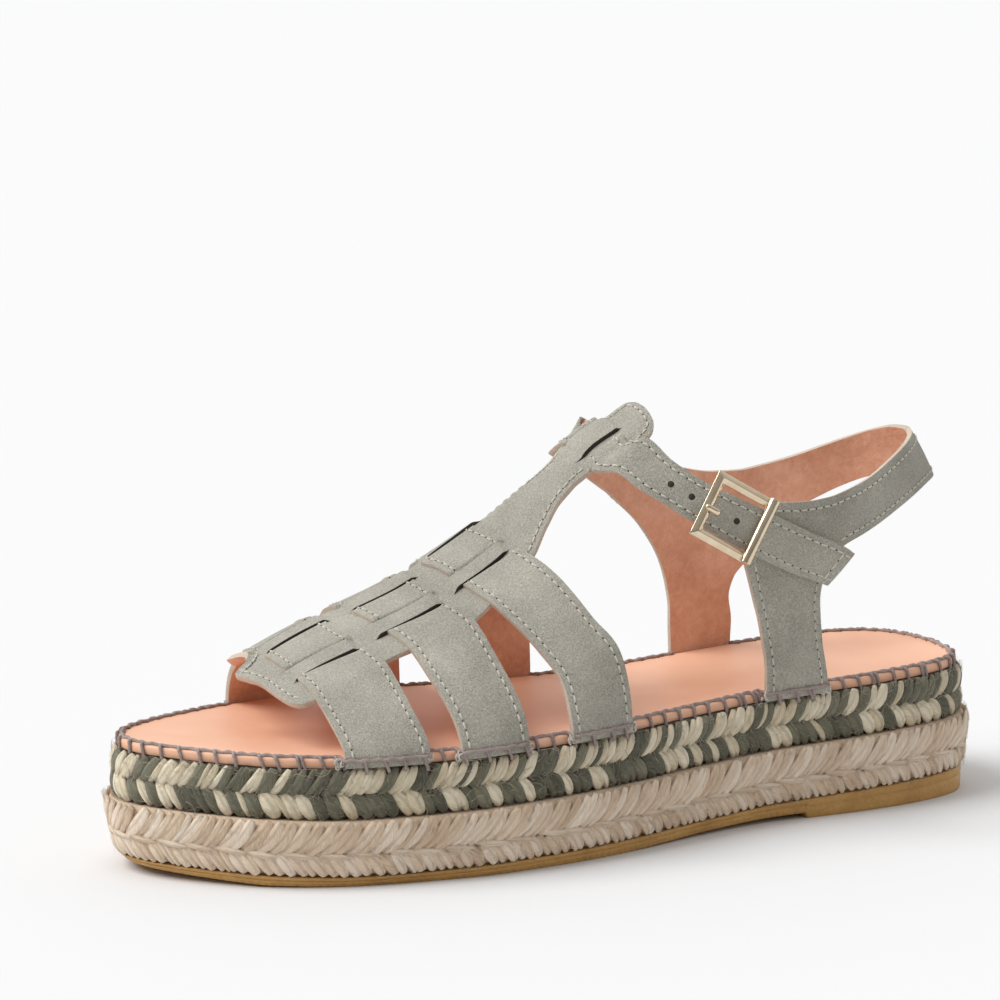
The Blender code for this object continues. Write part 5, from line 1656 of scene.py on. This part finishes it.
@dataclass(frozen=True)
class Buckle:
    """Square buckle with roof-shaped bars, a thick roller and the tip of its prong."""

    foot: Foot
    side: float = 19.6
    bar: float = 2.9
    low: float = 0.35
    edge: float = 0.75
    ridge: float = 1.75
    ridge_place: float = 0.55
    roller_width: float = 3.1
    roller_height: float = 3.0
    roller_raise: float = 0.2
    roller_inset: float = 1.65
    prong_offset: float = -1.2
    prong_radius: float = 0.85
    prong_steps: int = 28

    def place(self, points: Array) -> Array:
        """Points from the buckle's own axes (along the strap, along the bars, outwards) to the foot's."""
        along = unit(np.array(BUCKLE_ALONG))
        across = np.array(BUCKLE_ACROSS)
        across = unit(across - along * (across @ along))
        out = np.cross(across, along)
        if out[1] < 0.0:
            out = -out
        scale = np.array([self.foot.length, self.foot.width, self.foot.instep])
        centre = np.array(BUCKLE_CENTRE) * scale
        centre = centre + np.array([0.0, 0.0, float(self.foot.top(np.array(0.0)))])
        return centre + points[..., :1] * along + points[..., 1:2] * across + points[..., 2:] * out

    def frame(self) -> Surface:
        """Four bars: a roof profile carried round a square with mitred, slightly rounded corners."""
        half, inner = self.side / 2.0, self.side / 2.0 - self.bar
        ridge = half - self.bar * self.ridge_place
        profile = np.array([
            (half - 0.12, self.low), (half, self.low + 0.12), (half, self.low + self.edge - 0.1),
            (half - 0.12, self.low + self.edge), (ridge + 0.1, self.low + self.ridge),
            (ridge - 0.1, self.low + self.ridge), (inner + 0.12, self.low + self.edge),
            (inner, self.low + self.edge - 0.1), (inner, self.low + 0.12), (inner + 0.12, self.low),
        ])
        turn = np.array([-1.0, -0.97, -0.9, 0.9, 0.97])
        corner = np.stack([np.ones(5), turn], axis=1)
        corner[0] = (0.985, -0.985)
        quarter_turns = ((1, 0), (0, 1), (-1, 0), (0, -1))
        ring = np.concatenate([corner @ np.array([[c, s], [-s, c]]) for c, s in quarter_turns])
        flat = ring[:, None] * profile[None, :, :1]
        rise = np.broadcast_to(profile[None, :, 1:], (len(ring), len(profile), 1))
        points = np.concatenate([flat, rise], axis=-1)
        closed = self.place(np.concatenate([points, points[:1]]))
        return Surface.grid(closed, (0.0, 0.0, 0.0), closed=True)

    def roller(self) -> Surface:
        """A cylinder with rounded ends: rings whose radius falls near each end."""
        reach = self.side / 2.0 + 0.2
        ends = np.array([0.0, 0.55, 0.85, 1.0])
        at = np.concatenate([-reach + 0.35 * ends, (reach - 0.35 * ends)[::-1]])
        round_end = 0.5 + 0.5 * np.sqrt(1.0 - (1.0 - ends) ** 2)
        size = np.concatenate([round_end, round_end[::-1]])
        middle = self.side / 2.0 - self.roller_inset
        rise = self.low + self.roller_height / 2.0 + self.roller_raise
        path = np.stack([np.full(8, middle), at, np.full(8, rise)], axis=-1)[None]
        normals = np.broadcast_to([0.0, 0.0, 1.0], path.shape)
        wide, thick = size[None] * self.roller_width / 2.0, size[None] * self.roller_height / 2.0
        made = Surface.tubes(path, normals, wide, thick, 40)
        made.points = self.place(made.points)
        return made

    def prong(self) -> Surface:
        """A bent round rod that comes up inside the frame and lies over its bar."""
        inner = -self.side / 2.0 + self.bar
        top = self.low + self.ridge + 0.75
        path = np.array([
            (inner + 1.9, self.low + 0.4), (inner + 1.75, top - 1.0), (inner + 1.4, top - 0.2),
            (inner + 0.6, top), (inner - 1.2, top), (inner - 2.3, top - 0.1), (inner - 2.7, top - 0.35),
        ])
        way = travel(path)
        fine = smooth_curve(np.linspace(0.0, way[-1], self.prong_steps), way, path)
        share = np.linspace(0.0, 1.0, self.prong_steps)
        size = self.prong_radius * (1.0 - np.clip((share - 0.86) / 0.14, 0.0, 1.0) ** 2 * 0.7)
        aside = np.full(self.prong_steps, self.prong_offset)
        points = np.stack([fine[:, 0], aside, fine[:, 1]], axis=-1)[None]
        normals = np.broadcast_to([0.3, 0.0, 1.0], points.shape)
        made = Surface.tubes(points, normals, size[None] * 1.1, size[None] * 0.8, 14)
        made.points = self.place(made.points)
        return made

    def dress(self, shop: Workshop, metal: bpy.types.Material) -> None:
        """Make the frame, the roller and the prong."""
        made = self.frame()
        shop.add("buckle_square", made, [metal], "buckle_frame", ("buckle_frame",), bevel=0.08, weld=True)
        shop.add("buckle_roller", self.roller(), [metal], "buckle_frame")
        shop.add("buckle_tip", self.prong(), [metal], "buckle_prong", ("buckle_prong",))


# Bump distances in metres at full strength, for leather and thread and for jute
GRAIN_DEPTH = 0.00025
FIBRE_DEPTH = 0.0003


def colour(red: float, green: float, blue: float) -> tuple[float, float, float, float]:
    """A scene colour from screen values of 0 to 255."""
    parts = np.array([red, green, blue]) / 255.0
    linear = np.where(parts <= 0.04045, parts / 12.92, ((parts + 0.055) / 1.055) ** 2.4)
    return (float(linear[0]), float(linear[1]), float(linear[2]), 1.0)


def add_node(tree: bpy.types.NodeTree, kind: str, inputs: dict | None = None, **settings) -> bpy.types.Node:
    """Add a node to a tree.

    Args:
        tree: The node tree.
        kind: Node type.
        inputs: For an input's name or number, a plain value or the output socket linked to it.
        **settings: Properties of the node itself.

    Returns:
        The new node.
    """
    node = tree.nodes.new(kind)
    for name, value in settings.items():
        setattr(node, name, value)
    for name, value in (inputs or {}).items():
        if isinstance(value, bpy.types.NodeSocket):
            tree.links.new(value, node.inputs[name])
        else:
            node.inputs[name].default_value = value
    return node


def spread(
    tree: bpy.types.NodeTree, value: bpy.types.NodeSocket, ends: tuple[float, float, float, float]
) -> bpy.types.NodeSocket:
    """Stretch a value: ends are from low, from high, to low and to high."""
    names = ("From Min", "From Max", "To Min", "To Max")
    node = add_node(tree, "ShaderNodeMapRange", {"Value": value, **dict(zip(names, ends))}, clamp=True)
    return node.outputs["Result"]


def mixed(
    tree: bpy.types.NodeTree, share: bpy.types.NodeSocket | float, first: object, second: object
) -> bpy.types.NodeSocket:
    """Mix two colours by a share."""
    node = tree.nodes.new("ShaderNodeMix")
    node.data_type = "RGBA"
    for number, value in ((0, share), (6, first), (7, second)):
        if isinstance(value, bpy.types.NodeSocket):
            tree.links.new(value, node.inputs[number])
        else:
            node.inputs[number].default_value = value
    return node.outputs[2]


class Effect(Enum):
    """Effects that several materials share, each made once as a node group."""

    CLOUDS = "soft_clouds"
    GRAIN = "fine_grain"
    FIBRES = "fibre_streaks"

    def group(self) -> bpy.types.NodeTree:
        """The effect's node group, made at its first use."""
        found = bpy.data.node_groups.get(self.value)
        if found is not None:
            return found
        tree = bpy.data.node_groups.new(self.value, "ShaderNodeTree")
        face = tree.interface
        scale = face.new_socket("Scale", in_out="INPUT", socket_type="NodeSocketFloat")
        scale.default_value = 100.0
        face.new_socket("Value", in_out="OUTPUT", socket_type="NodeSocketFloat")
        given, result = tree.nodes.new("NodeGroupInput"), tree.nodes.new("NodeGroupOutput")
        make = {Effect.CLOUDS: self.clouds, Effect.GRAIN: self.grain, Effect.FIBRES: self.fibres}[self]
        tree.links.new(make(tree, given.outputs["Scale"]), result.inputs["Value"])
        return tree

    @staticmethod
    def clouds(tree: bpy.types.NodeTree, scale: bpy.types.NodeSocket) -> bpy.types.NodeSocket:
        """Soft patches of many sizes, spread over 0 to 1."""
        place = tree.nodes.new("ShaderNodeTexCoord").outputs["Object"]
        noise = add_node(
            tree, "ShaderNodeTexNoise", {"Vector": place, "Scale": scale, "Detail": 3.0, "Roughness": 0.55}
        )
        return spread(tree, noise.outputs["Fac"], (0.3, 0.7, 0.0, 1.0))

    @staticmethod
    def grain(tree: bpy.types.NodeTree, scale: bpy.types.NodeSocket) -> bpy.types.NodeSocket:
        """Short raised naps: fine noise broken up by finer noise."""
        place = tree.nodes.new("ShaderNodeTexCoord").outputs["Object"]
        noise = add_node(
            tree, "ShaderNodeTexNoise",
            {"Vector": place, "Scale": scale, "Detail": 4.0, "Roughness": 0.75, "Distortion": 0.6},
        )
        return spread(tree, noise.outputs["Fac"], (0.36, 0.64, 0.0, 1.0))

    @staticmethod
    def fibres(tree: bpy.types.NodeTree, scale: bpy.types.NodeSocket) -> bpy.types.NodeSocket:
        """Long thin streaks that wind slowly round a yarn, from its own pattern."""
        pattern = add_node(tree, "ShaderNodeUVMap", uv_map="pattern").outputs["UV"]
        parts = add_node(tree, "ShaderNodeSeparateXYZ", {"Vector": pattern})
        turned = add_node(
            tree, "ShaderNodeMath",
            {0: parts.outputs["X"], 1: 0.35, 2: parts.outputs["Y"]}, operation="MULTIPLY_ADD",
        )
        long = add_node(tree, "ShaderNodeMath", {0: parts.outputs["X"], 1: 0.09}, operation="MULTIPLY")
        place = add_node(
            tree, "ShaderNodeCombineXYZ",
            {"X": long.outputs["Value"], "Y": turned.outputs["Value"], "Z": 0.37},
        )
        noise = add_node(
            tree, "ShaderNodeTexNoise",
            {"Vector": place.outputs["Vector"], "Scale": scale, "Detail": 3.0, "Roughness": 0.65},
        )
        return spread(tree, noise.outputs["Fac"], (0.3, 0.7, 0.0, 1.0))

    def use(self, tree: bpy.types.NodeTree, scale: float) -> bpy.types.NodeSocket:
        """Add the effect to a material's tree, at a number of features per metre."""
        node = add_node(tree, "ShaderNodeGroup", node_tree=self.group())
        node.inputs["Scale"].default_value = scale
        return node.outputs["Value"]


def new_material(name: str) -> tuple[bpy.types.Material, bpy.types.Node]:
    """A material with nodes, and its surface node."""
    material = bpy.data.materials.new(name)
    material.use_nodes = True
    return material, material.node_tree.nodes["Principled BSDF"]


def set_values(node: bpy.types.Node, **values: object) -> None:
    """Set inputs of a node by their names, with underscores for spaces."""
    for name, value in values.items():
        node.inputs[name.replace("_", " ")].default_value = value


@dataclass(frozen=True)
class LeatherFinish:
    """Suede, smooth leather or a cut edge: two tones, a nap or grain, and soft clouds."""

    name: str
    dark: tuple[float, float, float, float]
    light: tuple[float, float, float, float]
    roughness: float
    cloud_scale: float = 45.0
    cloud_share: float = 0.35
    grain_scale: float = 2200.0
    bump: float = 0.25
    sheen: float = 0.0
    specular: float = 0.3

    def material(self) -> bpy.types.Material:
        """Base colour from grain and clouds; roughness and bump from the grain."""
        material, surface = new_material(self.name)
        tree = material.node_tree
        grain = Effect.GRAIN.use(tree, self.grain_scale)
        clouds = Effect.CLOUDS.use(tree, self.cloud_scale)
        share = add_node(tree, "ShaderNodeMix", {0: self.cloud_share}, data_type="FLOAT")
        tree.links.new(grain, share.inputs[2])
        tree.links.new(clouds, share.inputs[3])
        tree.links.new(mixed(tree, share.outputs[0], self.dark, self.light), surface.inputs["Base Color"])
        rough = spread(tree, grain, (0.0, 1.0, self.roughness - 0.05, self.roughness + 0.05))
        tree.links.new(rough, surface.inputs["Roughness"])
        bump = add_node(
            tree, "ShaderNodeBump", {"Height": grain, "Strength": self.bump, "Distance": GRAIN_DEPTH}
        )
        tree.links.new(bump.outputs["Normal"], surface.inputs["Normal"])
        set_values(
            surface, Sheen_Weight=self.sheen, Sheen_Roughness=0.6, Specular_IOR_Level=self.specular
        )
        return material


@dataclass(frozen=True)
class YarnFinish:
    """Jute yarn: two colours that each yarn chooses between, streaked along its fibres."""

    name: str
    plain: tuple[float, float, float, float]
    plain_dark: tuple[float, float, float, float]
    pale: tuple[float, float, float, float]
    pale_dark: tuple[float, float, float, float]
    scale: float = 4200.0
    bump: float = 0.7

    def material(self) -> bpy.types.Material:
        """Colour from the yarn's own values pale and tone and from its fibre streaks, darker in the grooves
        between fibres as painted shade.
        """
        material, surface = new_material(self.name)
        tree = material.node_tree
        fibres = Effect.FIBRES.use(tree, self.scale)
        clouds = Effect.CLOUDS.use(tree, 260.0)
        pale = add_node(tree, "ShaderNodeAttribute", attribute_name="pale").outputs["Fac"]
        tone = add_node(tree, "ShaderNodeAttribute", attribute_name="tone").outputs["Fac"]
        share = add_node(
            tree, "ShaderNodeMath", {0: tone, 1: 0.45, 2: 0.0}, operation="MULTIPLY_ADD"
        ).outputs["Value"]
        # The streaks that set the bump also darken the colour: partly real streaky fibre colour, partly
        # painted shade in the grooves
        streaks = add_node(tree, "ShaderNodeMath", {0: fibres, 1: 0.62, 2: share}, operation="MULTIPLY_ADD")
        patches = add_node(
            tree, "ShaderNodeMath",
            {0: clouds, 1: 0.2, 2: streaks.outputs["Value"]}, operation="MULTIPLY_ADD",
        )
        level = spread(tree, patches.outputs["Value"], (0.15, 1.1, 0.0, 1.0))
        plain = mixed(tree, level, self.plain_dark, self.plain)
        light = mixed(tree, level, self.pale_dark, self.pale)
        tree.links.new(mixed(tree, pale, plain, light), surface.inputs["Base Color"])
        bump = add_node(
            tree, "ShaderNodeBump", {"Height": fibres, "Strength": self.bump, "Distance": FIBRE_DEPTH}
        )
        tree.links.new(bump.outputs["Normal"], surface.inputs["Normal"])
        rough = spread(tree, fibres, (0.0, 1.0, 0.7, 0.88))
        tree.links.new(rough, surface.inputs["Roughness"])
        set_values(surface, Specular_IOR_Level=0.25, Sheen_Weight=0.15)
        return material


@dataclass(frozen=True)
class MetalFinish:
    """Polished plated metal with faint rubbing marks."""

    name: str
    tint: tuple[float, float, float, float]
    worn: tuple[float, float, float, float]

    def material(self) -> bpy.types.Material:
        """Roughness and a trace of colour follow fine marks and soft clouds."""
        material, surface = new_material(self.name)
        tree = material.node_tree
        grain = Effect.GRAIN.use(tree, 900.0)
        clouds = Effect.CLOUDS.use(tree, 300.0)
        tree.links.new(mixed(tree, clouds, self.tint, self.worn), surface.inputs["Base Color"])
        tree.links.new(spread(tree, grain, (0.0, 1.0, 0.07, 0.17)), surface.inputs["Roughness"])
        bump = add_node(tree, "ShaderNodeBump", {"Height": clouds, "Strength": 0.05, "Distance": 0.0002})
        tree.links.new(bump.outputs["Normal"], surface.inputs["Normal"])
        set_values(surface, Metallic=1.0)
        return material


class Looks:
    """Every material of the shoe."""

    def __init__(self) -> None:
        """Make the materials from their finishes."""
        self.suede = LeatherFinish(
            "sage_suede", colour(132, 127, 114), colour(230, 225, 210), 0.92, cloud_share=0.35,
            grain_scale=2400.0, bump=0.9, sheen=0.25, specular=0.12,
        ).material()
        self.lining = LeatherFinish(
            "peach_lining", colour(204, 148, 118), colour(238, 192, 164), 0.55,
            cloud_scale=70.0, cloud_share=0.6, grain_scale=420.0, bump=0.6, specular=0.35,
        ).material()
        self.cut_edge = LeatherFinish(
            "cream_cut_edge", colour(176, 160, 144), colour(228, 214, 196), 0.85,
            grain_scale=2600.0, bump=0.5,
        ).material()
        # Dark walls of the slits: painted shade, since the cut edge itself is cream
        self.slit_wall_shade = LeatherFinish(
            "slit_wall_painted_shade", colour(44, 40, 36), colour(74, 68, 60), 0.9, grain_scale=2600.0
        ).material()
        self.insole = LeatherFinish(
            "insole_leather", colour(230, 174, 142), colour(242, 193, 163), 0.5,
            cloud_scale=30.0, cloud_share=0.75, grain_scale=1500.0, bump=0.08, specular=0.35,
        ).material()
        self.rubber = LeatherFinish(
            "honey_rubber", colour(168, 124, 64), colour(212, 166, 96), 0.42,
            cloud_scale=60.0, cloud_share=0.6, grain_scale=900.0, bump=0.15, specular=0.45,
        ).material()
        self.braid = YarnFinish(
            "olive_and_cream_yarn", colour(146, 142, 120), colour(58, 58, 46),
            colour(252, 242, 218), colour(204, 186, 152),
        ).material()
        self.jute = YarnFinish(
            "natural_jute", colour(250, 230, 204), colour(204, 174, 144),
            colour(255, 240, 220), colour(222, 194, 166),
        ).material()
        self.edge_thread = LeatherFinish(
            "mauve_thread", colour(128, 110, 106), colour(190, 174, 168), 0.7, grain_scale=2600.0, bump=0.5
        ).material()
        self.knot_thread = LeatherFinish(
            "white_thread_fluff", colour(190, 180, 170), colour(240, 234, 226), 0.8,
            grain_scale=2600.0, bump=0.5,
        ).material()
        self.cream_thread = LeatherFinish(
            "cream_thread", colour(186, 180, 164), colour(232, 228, 216), 0.7, grain_scale=3200.0, bump=0.4
        ).material()
        # Dark inside of the needle and buckle holes: painted shade
        self.painted_hole_shade = LeatherFinish(
            "painted_hole_shade", colour(46, 42, 36), colour(84, 78, 66), 0.95, grain_scale=2600.0, specular=0.05
        ).material()
        self.metal = MetalFinish("pale_gold_plate", colour(226, 210, 186), colour(214, 194, 164)).material()


@dataclass(frozen=True)
class Studio:
    """White floor, soft light and the camera at the photograph's angle."""

    eye: tuple[float, float, float] = (0.622505, 1.183765, 0.321925)
    right: tuple[float, float, float] = (-0.88874656, 0.45829693, -0.00966795)
    above: tuple[float, float, float] = (-0.08642694, -0.14681537, 0.98538096)
    focal: float = 4922.07 * 36.0 / 1000.0
    floor_reach: float = 12.0
    bright_side: tuple[float, float, float] = (-0.35, -0.6, 0.72)
    key_side: tuple[float, float, float] = (1.0, -0.35, 1.3)
    key_spread: float = 0.7
    key_strength: float = 2.5

    def light(self) -> None:
        """A broad soft light, even over the whole floor, from above the toe."""
        data = bpy.data.lights.new("key_light", "SUN")
        data.angle = self.key_spread
        data.energy = self.key_strength
        lamp = bpy.data.objects.new("key_light", data)
        bpy.context.scene.collection.objects.link(lamp)
        lamp.location = self.key_side
        lamp.rotation_euler = (-Vector(self.key_side)).to_track_quat("-Z", "Y").to_euler()

    def floor(self) -> None:
        """A wide level floor, which fills the whole picture."""
        reach = np.linspace(-self.floor_reach, self.floor_reach, 9)
        points = np.stack([*np.meshgrid(reach, reach, indexing="ij"), np.zeros((9, 9))], axis=-1)
        sheet = Surface.grid(points / MM, (0.0, 0.0, 1.0))
        mesh = bpy.data.meshes.new("studio_floor")
        mesh.from_pydata(sheet.points * MM, [], sheet.faces)
        mesh.polygons.foreach_set("use_smooth", np.ones(len(mesh.polygons), dtype=bool))
        piece = bpy.data.objects.new("studio_floor", mesh)
        bpy.context.scene.collection.objects.link(piece)
        material, surface = new_material("white_floor")
        surface.inputs["Base Color"].default_value = (0.77, 0.77, 0.775, 1.0)
        surface.inputs["Roughness"].default_value = 0.9
        surface.inputs["Specular IOR Level"].default_value = 0.1
        mesh.materials.append(material)

    def world(self) -> None:
        """White light that is brightest above and behind the shoe and dim near the camera."""
        scene = bpy.context.scene
        world = bpy.data.worlds.new("studio_world")
        world.use_nodes = True
        tree = world.node_tree
        background = tree.nodes["Background"]
        way = tree.nodes.new("ShaderNodeTexCoord").outputs["Generated"]
        facing = add_node(
            tree, "ShaderNodeVectorMath", {0: way, 1: self.bright_side}, operation="DOT_PRODUCT"
        )
        strength = spread(tree, facing.outputs["Value"], (-1.0, 1.0, 0.05, 0.85))
        background.inputs["Color"].default_value = (1.0, 1.0, 1.0, 1.0)
        tree.links.new(strength, background.inputs["Strength"])
        scene.world = world
        scene.view_settings.view_transform = "Standard"

    def camera(self) -> None:
        """The camera that was fitted to the photograph."""
        data = bpy.data.cameras.new("photo_camera")
        data.sensor_width = 36.0
        data.lens = self.focal
        data.clip_start = 0.05
        data.clip_end = 50.0
        camera = bpy.data.objects.new("photo_camera", data)
        bpy.context.scene.collection.objects.link(camera)
        right, above = Vector(self.right), Vector(self.above)
        turn = Matrix((right, above, right.cross(above))).transposed()
        camera.matrix_world = Matrix.Translation(self.eye) @ turn.to_4x4()
        bpy.context.scene.camera = camera

    def build(self) -> None:
        """Set up the whole studio."""
        self.floor()
        self.world()
        self.light()
        self.camera()


def corners(box: tuple[Vector, Vector]) -> list[list[float]]:
    """A box as plain lists of numbers."""
    return [[float(value) for value in corner] for corner in box]


def main() -> None:
    """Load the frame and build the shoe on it."""
    logging.basicConfig(level=logging.INFO, format="%(name)s: %(message)s")
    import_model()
    foot = Foot()
    shop = Workshop.from_frame(foot)
    looks = Looks()
    Outsole(foot).dress(shop, looks.rubber)
    JuteBase(foot).dress(shop, looks.jute)
    BraidBand(foot).dress(shop, looks.braid)
    insole = Insole(foot)
    insole.dress(shop, looks.insole)
    EdgeStitch(foot, insole.wall()).dress(shop, looks.edge_thread, looks.knot_thread, looks.painted_hole_shade)
    Upper(foot, Leather(), Seam()).dress(shop, looks)
    Buckle(foot).dress(shop, looks.metal)
    Studio().build()


if __name__ == "__main__":
    main()
